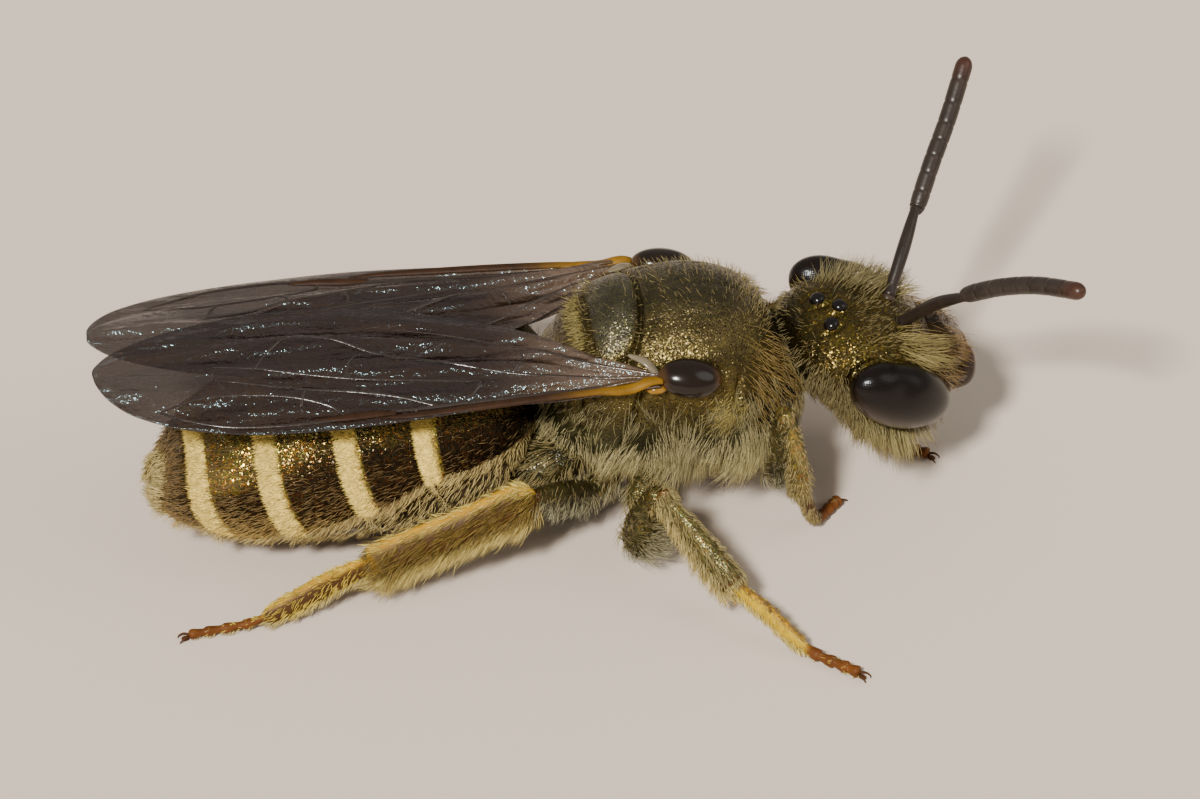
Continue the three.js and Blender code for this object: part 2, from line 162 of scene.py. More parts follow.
def table_at(table, x):
    """A table's columns at places x of its first column, on smooth curves."""
    table = np.array(table, float)
    table = table[np.argsort(table[:, 0])]
    fine = curve_through(table, 40 * len(table))
    return [np.interp(x, fine[:, 0], fine[:, k]) for k in range(1, table.shape[1])]


# ------------------------------------------------------------------ meshes
def make_piece(name, points, triangles, tint, material, slot, replaced=(), bake_uv=None):
    """A mesh object in metres that rides on the root body."""
    mesh = bpy.data.meshes.new(name)
    mesh.from_pydata((points + WING_LINE) * MM, [], triangles, shade_flat=False)
    layer = mesh.color_attributes.new(name="Tint", type="FLOAT_COLOR", domain="POINT")
    rgba = np.ones((len(points), 4), np.float32)
    rgba[:, :3] = tint
    layer.data.foreach_set("color", rgba.ravel())
    if bake_uv is not None:
        layer = mesh.uv_layers.new(name="OFBake")
        layer.data.foreach_set("uv", bake_uv[np.asarray(triangles).ravel()].astype(np.float32).ravel())
    mesh.materials.append(material)
    mesh.update()
    piece = bpy.data.objects.new(name, mesh)
    bpy.context.scene.collection.objects.link(piece)
    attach(piece, "root")
    if replaced:
        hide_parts(*replaced)


def join_parts(parts):
    """Several tuples of points, triangles and more rows for each point, as one."""
    starts = np.cumsum([0] + [len(part[0]) for part in parts])
    columns = list(zip(*parts))
    columns[1] = [triangles + start for triangles, start in zip(columns[1], starts)]
    return [np.vstack(column) for column in columns]


class Grid:
    """A closed surface of rings of points, with a pole beyond its first and its last ring."""

    def __init__(self, rings, start, end):
        self.p = np.asarray(rings, float)
        self.poles = np.array([start, end], float)
        self.flip = 1.0
        if np.sum(self.normals() * (self.p - self.p.mean(axis=1, keepdims=True))) < 0:
            self.flip = -1.0

    def normals(self):
        """The way out at each point."""
        around = np.roll(self.p, -1, 1) - np.roll(self.p, 1, 1)
        along = np.gradient(self.p, axis=0)
        return unit(np.cross(around, along)) * self.flip

    def along(self):
        """The way from ring to ring at each point."""
        return unit(np.gradient(self.p, axis=0))

    def raise_by(self, height):
        """Moves each point out by its height."""
        self.p = self.p + self.normals() * height[..., None]

    def painted(self, tint):
        """Points, triangles that face out, and the tint of each point."""
        rows, columns = self.p.shape[:2]
        points = np.vstack([self.p.reshape(-1, 3), self.poles])
        i, j = np.meshgrid(np.arange(rows - 1), np.arange(columns), indexing="ij")
        a = (i * columns + j).ravel()
        b = (i * columns + (j + 1) % columns).ravel()
        c, d = b + columns, a + columns
        ring = np.arange(columns)
        after = (ring + 1) % columns
        first, last = rows * columns, rows * columns + 1
        base = (rows - 1) * columns
        triangles = np.vstack([
            np.stack([a, b, c], 1), np.stack([a, c, d], 1),
            np.stack([np.full(columns, first), after, ring], 1),
            np.stack([np.full(columns, last), base + ring, base + after], 1),
        ])
        tint = np.broadcast_to(tint, self.p.shape)
        tints = np.vstack([tint.reshape(-1, 3), tint[0].mean(0), tint[-1].mean(0)])
        return points, triangles if self.flip > 0 else triangles[:, ::-1], tints

    def roots(self, count, density):
        """Random places over the surface, as dense as `density` says: their positions, the ways out
        and along, and (u, v) on the unwrapped rings."""
        p, n = self.p, self.normals()
        across = np.roll(p, -1, 1)[:-1] - p[:-1]
        down = p[1:] - p[:-1]
        area = np.linalg.norm(np.cross(across, down), axis=-1)
        weight = (area * density[:-1]).ravel()
        share = weight / weight.sum()
        cell = random.choice(len(share), count, p=share)
        rows, columns = p.shape[:2]
        i, j = np.divmod(cell, columns)
        a, b = random.random((2, count))
        k = (j + 1) % columns

        def mix(field):
            low = field[i, j] * (1 - b)[:, None] + field[i, k] * b[:, None]
            high = field[i + 1, j] * (1 - b)[:, None] + field[i + 1, k] * b[:, None]
            return low * (1 - a)[:, None] + high * a[:, None]

        uv = np.stack([(j + b) / columns, (i + a) / (rows - 1)], 1)
        return mix(p), unit(mix(n)), unit(mix(self.along())), uv


END_BULGE = 0.15  # how far a tube's end stands out, as a share of its depth there


def tube(line, side, widths, depths, columns=24):
    """A limb along a line of points: half widths along `side`, half depths across it."""
    tangent = unit(np.gradient(line, axis=0))
    up = unit(np.cross(tangent, side))
    across = np.cross(up, tangent)
    turn = round_turn(columns)
    rings = (
        line[:, None]
        + across[:, None] * (widths[:, None] * np.cos(turn))[..., None]
        + up[:, None] * (depths[:, None] * np.sin(turn))[..., None]
    )
    start = line[0] - tangent[0] * END_BULGE * depths[0]
    end = line[-1] + tangent[-1] * END_BULGE * depths[-1]
    return Grid(rings, start, end)


FIRST_ANGLE = 0.04  # a ball's first ring lies this angle from its pole


def ball(centre, axes, rows, columns):
    """An ellipsoid: its poles lie on the second axis."""
    centre, axes = np.asarray(centre, float), np.asarray(axes, float)
    lat = np.linspace(FIRST_ANGLE, np.pi - FIRST_ANGLE, rows)
    lon = round_turn(columns)
    a = np.sin(lat)[:, None] * np.cos(lon)[None]
    b = np.cos(lat)[:, None] * np.ones(columns)[None]
    c = np.sin(lat)[:, None] * np.sin(lon)[None]
    rings = centre + a[..., None] * axes[0] + b[..., None] * axes[1] + c[..., None] * axes[2]
    return Grid(rings, centre + axes[1], centre - axes[1])


# ------------------------------------------------------------------ hair
TUFT_PATCH = 0.003  # width of each tuft's patch on the OFBake map
FLOOR_GAP = 0.01  # hairs stay this far above the floor
ROOT_DEPTH = 0.012  # how far under the skin a hair begins
LOCK_SIZE = 14  # how many hairs are drawn together
HAIR_ROLL = np.arange(3) * 2 * np.pi / 3  # the three corners of a hair's section


def grow(name, slot, batches):
    """Solid tapered hairs as one coat piece. A batch holds what `hairs` asks for."""
    points, triangles, tints, uv = join_parts([hairs(**batch) for batch in batches])
    make_piece(name, points, triangles, tints, HAIR, slot, bake_uv=uv)


def over_floor(places):
    """The same places, lifted where they would come too near to the floor."""
    return np.column_stack([places[:, :2], np.maximum(places[:, 2], FLOOR + FLOOR_GAP)])


def hairs(
    root, normal, lie, uv, length, width, rise, tint, bend=0.6, droop=0.0, clump=0.0, stray=0.18, steps=3,
):
    """Points, triangles, tints and OFBake places of many hairs.

    Each leaves its root at `rise` degrees over the lie of the coat, bends down to it by `bend` and to the
    floor by `droop`, and goes astray by `stray`.
    """
    count = len(root)
    length = length * random.uniform(0.7, 1.15, count)
    angle = np.radians(rise + random.normal(0, 7, count))
    lie = unit(lie - normal * np.sum(lie * normal, axis=1, keepdims=True))
    jitter = random.normal(0, stray, (count, 3))
    start = unit(normal * np.sin(angle)[:, None] + lie * np.cos(angle)[:, None] + jitter)
    fall = np.array([0, 0, -droop])
    finish = unit(start * (1 - bend) + lie * bend + normal * 0.08 + fall + jitter * 0.6)
    tip = root + (start + finish) * (length / 2)[:, None]
    if clump:
        tip = gather(root, tip, clump)
    tip = over_floor(tip)
    middle = over_floor(root + start * (length / 2)[:, None])
    sideways = unit(np.cross(start, random.normal(size=(count, 3))))
    other = np.cross(unit(tip - root), sideways)
    c, s = np.cos(HAIR_ROLL)[None, :, None], np.sin(HAIR_ROLL)[None, :, None]
    ts = np.linspace(0, 1, steps + 1)[:-1]
    rings = []
    for t in ts:
        centre = root * (1 - t) ** 2 + middle * 2 * t * (1 - t) + tip * t * t
        centre = centre - start * ROOT_DEPTH * (t == 0)
        radius = (width / 2) * (1 - 0.75 * t**1.4)
        rings.append(centre[:, None] + (sideways[:, None] * c + other[:, None] * s) * radius)
    points = np.concatenate(rings + [tip[:, None]], axis=1)
    faces = (np.arange(count) * points.shape[1])[:, None, None] + hair_triangles(steps)[None]
    spread = np.tile(np.column_stack([np.cos(HAIR_ROLL), np.sin(HAIR_ROLL)]), (steps, 1))
    spread = np.vstack([spread * np.repeat(1 - ts, 3)[:, None], [[0, 0]]])
    tuft = np.clip(uv[:, None] + spread[None] * TUFT_PATCH / 2, 0, 1)
    shade = random.uniform(0.66, 1.2, count)[:, None, None]
    tip_light = np.append(np.repeat(0.85 + 0.2 * ts, 3), 1.1)[None, :, None]
    colours = np.broadcast_to(tint, (count, 3))[:, None] * shade * tip_light
    return points.reshape(-1, 3), faces.reshape(-1, 3), colours.reshape(-1, 3), tuft.reshape(-1, 2)


def hair_triangles(steps):
    """The triangles of one hair: its butt, its three sides, and its point."""
    triangles = [[0, 2, 1]]
    for k in range(steps - 1):
        for s in range(3):
            a, b = 3 * k + s, 3 * k + (s + 1) % 3
            triangles += [[a, b, b + 3], [a, b + 3, a + 3]]
    top = 3 * (steps - 1)
    triangles += [[top + s, top + (s + 1) % 3, top + 3] for s in range(3)]
    return np.array(triangles)


def gather(root, tip, amount):
    """Draws the hairs' tips together in locks."""
    keys = random.choice(len(root), max(1, len(root) // LOCK_SIZE), replace=False)
    tree = kdtree.KDTree(len(keys))
    for k, key in enumerate(keys):
        tree.insert(Vector(root[key]), k)
    tree.balance()
    nearest = np.array([keys[tree.find(Vector(r))[1]] for r in root])
    return tip + (tip[nearest] - tip) * amount * random.uniform(0.4, 1.0, (len(root), 1))


# ------------------------------------------------------------------ materials
# Colours of hair.
PALE_HAIR = np.array([0.60, 0.55, 0.33])
STRAW_HAIR = np.array([0.56, 0.44, 0.17])
FELT = np.array([0.97, 0.74, 0.19])
GOLD_HAIR = np.array([0.62, 0.36, 0.08])
UMBER_HAIR = np.array([0.16, 0.10, 0.035])


class Nodes:
    """A short way to build a node material."""

    def __init__(self, name):
        self.material = bpy.data.materials.new(name)
        self.material.use_nodes = True
        self.tree = self.material.node_tree
        self.shader = self.tree.nodes["Principled BSDF"]

    def add(self, kind, inputs=(), **settings):
        """A node of a kind, with its settings and its inputs."""
        node = self.tree.nodes.new(kind)
        for key, value in settings.items():
            setattr(node, key, value)
        for key, value in dict(inputs).items():
            self.put(node.inputs[key], value)
        return node

    def put(self, socket, value):
        """Links or sets one socket."""
        if isinstance(value, bpy.types.NodeSocket):
            self.tree.links.new(value, socket)
        else:
            socket.default_value = value

    def set(self, **inputs):
        """Links or sets the shader's own sockets."""
        for key, value in inputs.items():
            self.put(self.shader.inputs[key.replace("_", " ")], value)

    def place(self):
        """Places on the object, which is in the shared frame."""
        return self.add("ShaderNodeTexCoord").outputs["Object"]

    def noise(self, size, detail=3.0, stretch=(1, 1, 1)):
        """Noise whose patches are about `size` millimetres across."""
        mapping = self.add("ShaderNodeMapping", {"Vector": self.place(), "Scale": stretch})
        inputs = {
            "Vector": mapping.outputs[0], "Scale": 0.5 / (size * MM), "Detail": detail, "Roughness": 0.55,
        }
        return self.add("ShaderNodeTexNoise", inputs).outputs["Fac"]

    def cells(self, size, output="Distance", randomness=0.8):
        """Cells about `size` millimetres across."""
        inputs = {"Vector": self.place(), "Scale": 1 / (size * MM), "Randomness": randomness}
        return self.add("ShaderNodeTexVoronoi", inputs).outputs[output]

    def tint(self):
        """The colour stored on the mesh."""
        return self.add("ShaderNodeAttribute", attribute_name="Tint").outputs["Color"]

    def mix(self, factor, a, b, way="MIX"):
        """Two colours mixed in a way of the Mix node."""
        node = self.add("ShaderNodeMix", data_type="RGBA", blend_type=way)
        for socket, value in ((node.inputs[0], factor), (node.inputs[6], a), (node.inputs[7], b)):
            self.put(socket, value)
        return node.outputs[2]

    def times(self, a, b):
        """Two colours multiplied."""
        return self.mix(1.0, a, b, "MULTIPLY")

    def steer(self, operation, **inputs):
        """A sum on vectors, whose inputs are given as a, b and scale."""
        sockets = {{"a": 0, "b": 1, "scale": 3}[key]: value for key, value in inputs.items()}
        return self.add("ShaderNodeVectorMath", sockets, operation=operation).outputs[0]

    def steps(self, value, *stops):
        """A ramp of (place, grey level or colour)."""
        ramp = self.add("ShaderNodeValToRGB", {"Fac": value})
        elements = ramp.color_ramp.elements
        while len(elements) < len(stops):
            elements.new(0.5)
        for element, (at, level) in zip(elements, stops):
            element.position = at
            element.color = (*level, 1) if isinstance(level, tuple) else (level, level, level, 1)
        return ramp.outputs["Color"]

    def relief(self, height, depth, start=None):
        """A bump whose full height is `depth` millimetres, over the surface's own normal or another."""
        node = self.add("ShaderNodeBump", {"Height": height, "Distance": depth * MM})
        if start is not None:
            self.put(node.inputs["Normal"], start)
        self.set(Normal=node.outputs[0])


# What the cells of metallic cuticle do to its colour, from the commonest to the rarest.
CELL_LIGHTS = (
    (0.0, (0.8, 0.85, 0.8)), (0.45, (1.1, 1.0, 0.8)), (0.64, (0.85, 1.2, 0.75)), (0.78, (2.0, 2.1, 0.8)),
)


def cuticle(
    name, metallic, rough, pit=0.034, glint=1.0, tilt=0.5, flake=0.014, sag=0.0, rarest=(2.4, 1.3, 0.5),
):
    """Metallic cuticle: fine pits, and cells that each face their own way and flash gold, green or copper.
    `tilt` is how far the cells turn, `flake` their size and `sag` how far they lean to the floor."""
    m = Nodes(name)
    pits = m.cells(pit)
    grain = m.noise(0.012, 2.0)
    facing = m.cells(flake, output="Color", randomness=1.0)
    hue = m.cells(1.3 * flake, output="Color", randomness=1.0)
    hue_value = m.add("ShaderNodeSeparateColor", {"Color": hue}).outputs[0]
    lights = m.steps(hue_value, *CELL_LIGHTS, (0.96, rarest))
    patches = m.steps(m.noise(0.16), (0.35, 0.6), (0.65, 1.2))
    base = m.times(m.tint(), patches)
    base = m.mix(glint, base, m.times(base, lights))
    base = m.times(base, m.steps(pits, (0.1, 0.25), (0.32, 1.0)))
    m.set(Base_Color=base, Metallic=metallic, Roughness=rough)
    swing = m.steer("SUBTRACT", a=facing, b=(0.5, 0.5, 0.5 + sag))
    swing = m.steer("SCALE", a=swing, scale=tilt)
    straight = m.add("ShaderNodeNewGeometry").outputs["Normal"]
    tilted = m.steer("NORMALIZE", a=m.steer("ADD", a=straight, b=swing))
    pit_height = m.steps(pits, (0.08, 0.0), (0.4, 1.0))
    m.relief(m.mix(0.3, pit_height, grain), 0.006, start=tilted)
    return m.material


def hair_material():
    """Dull hair, streaked along and across."""
    m = Nodes("hair")
    streaks = m.steps(m.noise(0.03, 2.0), (0.3, 0.8), (0.7, 1.1))
    m.set(Base_Color=m.times(m.tint(), streaks), Roughness=0.5, Specular_IOR_Level=0.4)
    return m.material


def horn_material(name, rough=0.35, grain_size=0.02, depth=0.002, shine=0.35):
    """Smooth dark cuticle, its colour taken from the piece."""
    m = Nodes(name)
    patches = m.steps(m.noise(0.07), (0.3, 0.75), (0.7, 1.2))
    m.set(Base_Color=m.times(m.tint(), patches), Roughness=rough, Specular_IOR_Level=shine)
    m.relief(m.noise(grain_size), depth)
    return m.material


def eye_material():
    """Dark eyes of fine facets, with soft clouds of depth."""
    m = Nodes("eye_facets")
    facets = m.cells(0.02, randomness=0.25)
    clouds = m.steps(m.noise(0.35, 2.0), (0.3, 0.6), (0.7, 1.3))
    m.set(Base_Color=m.times(m.tint(), clouds), Roughness=0.24, Specular_IOR_Level=0.25)
    m.set(Specular_Tint=(0.88, 0.95, 1.0, 1.0))
    m.relief(m.steps(facets, (0.0, 1.0), (0.6, 0.0)), 0.0012)
    return m.material


def wing_material():
    """A smoky clear membrane with a thin film and shallow ripples along it."""
    m = Nodes("smoky_membrane")
    smoke = m.steps(m.noise(0.12, stretch=(0.25, 1, 1)), (0.3, 0.75), (0.7, 1.2))
    m.set(Base_Color=m.times(m.tint(), smoke), Roughness=0.16, Alpha=0.78, Specular_IOR_Level=0.5)
    m.set(Thin_Film_Thickness=222, Thin_Film_IOR=1.6)
    ripples = m.noise(0.18, 2.0, stretch=(0.18, 1, 1))
    m.relief(m.mix(0.1, ripples, m.noise(0.03, 2.0)), 0.36)
    return m.material


BRASSY = cuticle("brassy_cuticle", 0.85, 0.34, glint=0.45, tilt=0.52, flake=0.0135, rarest=(1.7, 1.7, 0.7))
FACE_CUTICLE = cuticle("head_cuticle", 0.85, 0.27, glint=0.7, tilt=0.7, flake=0.0165, rarest=(2.0, 1.7, 0.6))
BANDED = cuticle("abdomen_cuticle", 0.85, 0.22, pit=0.026, flake=0.016, sag=0.5)
LEG_CUTICLE = cuticle("leg_cuticle", 0.6, 0.3, pit=0.03, glint=0.8, tilt=0.45)
HORN = horn_material("dark_horn")
GLOSS = horn_material("glossy_horn", 0.18, 0.05, 0.001)
AMBER_HORN = horn_material("amber_horn", 0.5, 0.03, 0.004, shine=0.15)
EYE = eye_material()
WING = wing_material()
VEIN = horn_material("wing_vein", 0.25, 0.05, 0.008, shine=1.0)
HAIR = hair_material()


# ------------------------------------------------------------------ thorax
# Sections of the trunk at x: half its width, then the height of its back and of its belly.
THORAX = [
    (-1.34, 0.42, -0.56, -1.18), (-1.22, 0.68, -0.24, -1.34), (-1.0, 0.88, 0.1, -1.46),
    (-0.72, 0.99, 0.3, -1.56), (-0.3, 1.05, 0.42, -1.62), (0.2, 1.06, 0.44, -1.63), (0.6, 0.98, 0.32, -1.6),
    (0.86, 0.83, 0.06, -1.48), (1.04, 0.62, -0.26, -1.28), (1.22, 0.42, -0.46, -1.05),
]
SKIN_DEPTH = {"back": 0.05, "side": 0.12, "belly": 0.16}  # how far the skin lies inside the solids
SCUTELLUM = {"middle": -0.63, "half": 0.24, "side": 0.68}  # the rounded plate behind the main one
METANOTUM_END = -1.04
LOBE = (0.4, -0.5)  # place of the furred lobe under the front of each tegula
THORAX_TINTS = {
    "brassy": (0.082, 0.059, 0.020), "back": (0.082, 0.068, 0.044), "scutellum": (0.095, 0.084, 0.06),
    # the neck tint is painted shade: the front face of the trunk behind the head, near black as if the head
    # shaded it
    "low": (0.05, 0.05, 0.026), "neck": (0.02, 0.014, 0.008),
}


def trunk_rings(x, half, top, bottom, lean, columns, power):
    """Rings round the trunk at places x; `lean` tips their backs to the tail."""
    c, s = squarish(round_turn(columns), power)
    middle, tall = (top + bottom) / 2, (top - bottom) / 2
    rings = np.zeros((len(x), columns, 3))
    rings[..., 0] = x[:, None] - (lean * tall)[:, None] * s
    rings[..., 1] = half[:, None] * c
    rings[..., 2] = middle[:, None] + tall[:, None] * s
    return rings


def build_thorax():
    """One skin over collar, main plate, scutellum and the rear of the trunk."""
    x = np.linspace(1.215, -1.335, 190)
    half, top, bottom = table_at(THORAX, x)
    half = half - SKIN_DEPTH["side"]
    top = top - SKIN_DEPTH["back"]
    bottom = bottom + SKIN_DEPTH["belly"]
    rings = trunk_rings(x, half, top, bottom, np.zeros_like(x), 220, 2.25)
    middle = (top + bottom) / 2
    grid = Grid(rings, (1.24, 0, middle[0]), (-1.35, 0, middle[-1]))
    back, plate = carve_thorax(grid)
    make_piece(
        "thorax_skin", *grid.painted(thorax_tint(grid, back, plate)), BRASSY, "brassy_cuticle",
        ("pronotum", "mesothorax", "scutellum", "propodeum"),
    )
    return grid


def carve_thorax(grid):
    """Cuts the plates and sutures. Returns the back's mask and the distance from the scutellum's middle."""
    px, py, pz = np.moveaxis(grid.p, -1, 0)
    back = smooth_step(-0.25, -0.05, pz)
    side = 1 - back
    ay = np.abs(py)
    ahead = (px - SCUTELLUM["middle"] + 0.12 * ay**2) / SCUTELLUM["half"]
    plate = (np.abs(ahead) ** 3 + (ay / SCUTELLUM["side"]) ** 3) ** (1 / 3)
    h = -0.06 * back * bump((plate - 1.08) / 0.09)
    h += 0.05 * back * (1 - smooth_step(0.3, 1.0, plate))
    h -= 0.03 * back * smooth_step(1.0, 1.2, plate) * smooth_step(-0.6, -0.85, px)
    h -= 0.04 * back * bump((px - METANOTUM_END) / 0.03)
    h += 0.02 * back * bump((px - 0.15) / 0.5, py / 0.55)
    h -= 0.012 * back * bump(py / 0.012) * smooth_step(-0.1, 0.15, px)
    beside = smooth_step(-0.38, -0.3, px) * (1 - smooth_step(0.25, 0.4, px))
    for line in (-0.42, 0.42):
        h -= 0.012 * back * bump((py - line) / 0.012) * beside
    # the groove over each tegula, the collar, and the lobe behind it
    h -= 0.05 * bump((ay - 0.83) / 0.035, px / 0.42, (pz + 0.02) / 0.2)
    h -= 0.05 * bump((px - 0.96 - 0.16 * pz) / 0.03) * smooth_step(-0.9, -0.5, pz)
    h += 0.07 * bump((px - LOBE[0]) / 0.12, (pz - LOBE[1]) / 0.13) * smooth_step(0.5, 0.8, ay)
    # the sides' sutures
    h -= 0.05 * side * bump((px + 0.62 - 0.25 * (pz + 0.8)) / 0.03) * smooth_step(-1.5, -1.2, pz)
    h -= 0.04 * side * bump((px - 0.38 - 0.2 * (pz + 0.8)) / 0.03) * smooth_step(-1.4, -1.1, pz)
    h -= 0.035 * side * bump((px + 1.0 - 0.1 * pz) / 0.03)
    grid.raise_by(h)
    return back, plate


def thorax_tint(grid, back, plate):
    """Brassy, greyer down the middle of the back, blacker low on the sides, and painted shade at the neck,
    near black where the head shades the front of the trunk.
    """
    px, py, pz = np.moveaxis(grid.p, -1, 0)
    dark = np.maximum(bump(py / 0.55, (px - 0.15) / 0.7), 1 - smooth_step(0.8, 1.0, plate)) * back
    tint = np.array(THORAX_TINTS["brassy"])
    tint = paint(tint, THORAX_TINTS["back"], dark)
    tint = paint(tint, THORAX_TINTS["scutellum"], (1 - smooth_step(0.75, 0.95, plate)) * back)
    tint = paint(tint, THORAX_TINTS["low"], 1 - smooth_step(-0.9, -0.2, pz))
    # painted shade on the front face of the trunk, behind the head
    return paint(tint, THORAX_TINTS["neck"], smooth_step(0.78, 0.98, px))


# ------------------------------------------------------------------ abdomen
# Sections of the abdomen at x: half its width, then the height of its back and of its belly.
ABDOMEN = [
    (-1.42, 0.34, -0.66, -1.2), (-1.56, 0.62, -0.46, -1.44), (-1.85, 0.87, -0.32, -1.68),
    (-2.3, 1.03, -0.24, -1.86), (-2.9, 1.13, -0.21, -1.97), (-3.45, 1.15, -0.27, -2.01),
    (-4.0, 1.08, -0.45, -2.01), (-4.45, 0.92, -0.7, -1.98), (-4.8, 0.68, -0.97, -1.88),
    (-5.0, 0.44, -1.18, -1.78), (-5.1, 0.22, -1.32, -1.66),
]
BASE = -1.42  # where the first ring starts, behind a short stalk
MARGINS = [-2.45, -3.2, -3.98, -4.66, -4.95, -5.1]  # hind rims of the six rings
RING_LEAN = 0.42
TAIL_LEAN = 0.12  # further lean of the last rings
RING_ARCH = 0.2  # how far the rings arch forward at back and belly
BANDS = [0.15, 0.2, 0.21, 0.21]  # widths of the bands of felt
# Places along the abdomen, and the height on its side where the rings fold under, from -1 (belly) to 1.
FOLD = [
    (-5.1, -0.4), (-4.4, -0.48), (-3.9, -0.42), (-3.5, -0.3), (-3.1, -0.2), (-2.4, 0.04), (-2.0, 0.06),
    (-1.36, 0.1),
]
ABDOMEN_SKIN = 0.06  # how far the skin lies inside the solids
LIP_DROP = 0.035  # step down from each hind rim to the next ring
ABDOMEN_COLUMNS = 200
ABDOMEN_TINTS = {
    "dark": (0.024, 0.014, 0.007),
    # painted highlight: a much lighter tint high on the sides, just under the wing's edge, where the lamp's
    # highlight falls
    "shine": (0.2, 0.145, 0.055),
    "band": FELT * 0.5,
    "belly": (0.035, 0.022, 0.013),
}


def over_fold(x):
    """Height round the abdomen over the line where its rings fold under."""
    return np.sin(round_turn(ABDOMEN_COLUMNS))[None] - table_at(FOLD, x)[0][:, None]


def abdomen_profile():
    """Places along the abdomen, and how far the surface lies in: each ring slips under the one before."""
    x, inset = [-1.36], [0.0]
    start = BASE
    for k, rim in enumerate(MARGINS):
        t = np.linspace(0, 1, 26)
        tucked = LIP_DROP if k else 0.0
        x += list(start + (rim - start) * t)
        inset += list(tucked * (1 - smooth_step(0, 0.45, t)) + 0.012 * smooth_step(0.9, 1.0, t))
        if k < len(MARGINS) - 1:
            x += [rim - 0.004, rim + 0.012]
            inset += [0.022, LIP_DROP + 0.004]
            start = rim + 0.01
    return np.array(x), np.array(inset)


def build_abdomen():
    """One skin over the six rings. Returns it with its places along x, and where it lies over the fold."""
    x, inset = abdomen_profile()
    half, top, bottom = table_at(ABDOMEN, np.minimum(x, BASE))
    shrink = ABDOMEN_SKIN + inset
    taper = np.where(x > BASE, 0.75, 1.0)
    half, tall = (half - shrink) * taper, ((top - bottom) / 2 - shrink) * taper
    middle = (top + bottom) / 2
    lean = RING_LEAN * np.clip(-1.5 - x, 0, 1) + TAIL_LEAN * smooth_step(-4.0, -4.6, x)
    rings = trunk_rings(x, half, middle + tall, middle - tall, lean, ABDOMEN_COLUMNS, 2.08)
    arch = ((rings[..., 2] - middle[:, None]) / tall[:, None]) ** 2 - 0.2
    rings[..., 0] += RING_ARCH * arch * np.clip(-1.5 - x, 0, 1)[:, None]
    grid = Grid(rings, (-1.33, 0, middle[0]), (-5.11, 0, middle[-1]))
    height = over_fold(x)
    grid.raise_by(-0.05 * bump(height / 0.05) - 0.03 * (1 - smooth_step(-0.12, 0.0, height)))
    above = smooth_step(-0.05, 0.08, height)
    # painted highlight: the upper sides are tinted lighter, less so at the tail, so the lamp's sparkle
    # gathers under the wing's edge
    painted_highlight_start = (0.5 + 0.25 * smooth_step(-2.4, -3.3, x))[:, None]
    tail = smooth_step(-4.55, -4.75, x)[:, None]
    high = smooth_step(painted_highlight_start, painted_highlight_start + 0.4, height) * (1 - 0.8 * tail)
    tint = paint(ABDOMEN_TINTS["dark"], ABDOMEN_TINTS["shine"], high)
    tint = paint(tint, ABDOMEN_TINTS["band"], band_mask(x)[:, None] * above)
    tint = paint(tint, ABDOMEN_TINTS["belly"], 1 - above)
    rings = [f"abdomen_{k + 1}" for k in range(len(MARGINS))]
    make_piece("abdomen_skin", *grid.painted(tint), BANDED, "banded_abdomen", rings)
    return grid, x, above


def band_mask(x):
    """1 on the felt band before each hind rim, 0 elsewhere."""
    mask = np.zeros_like(x)
    for rim, band in zip(MARGINS, BANDS):
        ahead = x - rim
        mask = np.maximum(mask, smooth_step(0.0, 0.004, ahead) * (1 - smooth_step(band * 0.8, band, ahead)))
    return mask


# ------------------------------------------------------------------ head
# Places on the head: a to its left, u up to the crown and o out of its face, in head units.
EYE_ACROSS, EYE_HALF = 0.8, np.array([0.29, 0.66, 0.36])  # an eye's place and half sizes
EYE_DROP = 0.02  # how far the eyes' middles lie under the head's
EYE_LEAN = 0.14  # how far the eyes' lower ends draw together


def head_axes():
    """The head's middle, its axes a, u and o, and its unit, from the frame's two eyes."""
    eyes = {name: node_points(f"eye_{name}") for name in SIDES}
    middles = {name: (p.min(0) + p.max(0)) / 2 for name, p in eyes.items()}
    across = unit(middles["left"] - middles["right"])
    scale = np.linalg.norm(middles["left"] - middles["right"]) / (2 * EYE_ACROSS)
    long = sum(
        axis * np.sign(axis[2])
        for axis in (np.linalg.svd(p - p.mean(0), full_matrices=False)[2][0] for p in eyes.values())
    )
    up = unit(long - across * (long @ across))
    middle = (middles["left"] + middles["right"]) / 2 + up * EYE_DROP * scale
    return middle, np.array([across, up, np.cross(across, up)]), scale


HEAD, HEAD_AXES, HEAD_UNIT = head_axes()


def from_head(local):
    """Places on the head (a, u, o) as places from the wing line."""
    return HEAD + (np.asarray(local) @ HEAD_AXES) * HEAD_UNIT


def to_head(points):
    """Places from the wing line as places on the head (a, u, o)."""
    return ((points - HEAD) @ HEAD_AXES.T) / HEAD_UNIT


# Rows down the skull: height, half width, back, front.
SKULL = [
    (0.92, 0.2, -0.2, -0.1), (0.88, 0.38, -0.3, -0.04), (0.8, 0.54, -0.4, 0.08), (0.64, 0.68, -0.5, 0.27),
    (0.28, 0.82, -0.56, 0.42), (-0.1, 0.88, -0.56, 0.47), (-0.45, 0.8, -0.52, 0.47),
    (-0.7, 0.62, -0.42, 0.45), (-0.86, 0.42, -0.26, 0.4), (-0.92, 0.28, -0.16, 0.34),
]
CROWN, CHIN = SKULL[0][0], SKULL[-1][0]
OCELLI = [(-0.19, 0.75), (0.19, 0.75), (0.0, 0.64)]  # places (a, u) of the three small eyes
SOCKET = (0.2, 0.02)  # place (a, u) of the left feeler's root
HEAD_TINTS = {"brassy": (0.078, 0.055, 0.017), "lip": (0.035, 0.02, 0.011)}
EYE_TINTS = {
    "facets": (0.006, 0.0035, 0.0025), "rim": (0.03, 0.017, 0.01), "ocellus": (0.004, 0.003, 0.003),
}


def eye_centre(side):
    """The middle of an eye, on the head."""
    return np.array([side * EYE_ACROSS, -EYE_DROP, 0])


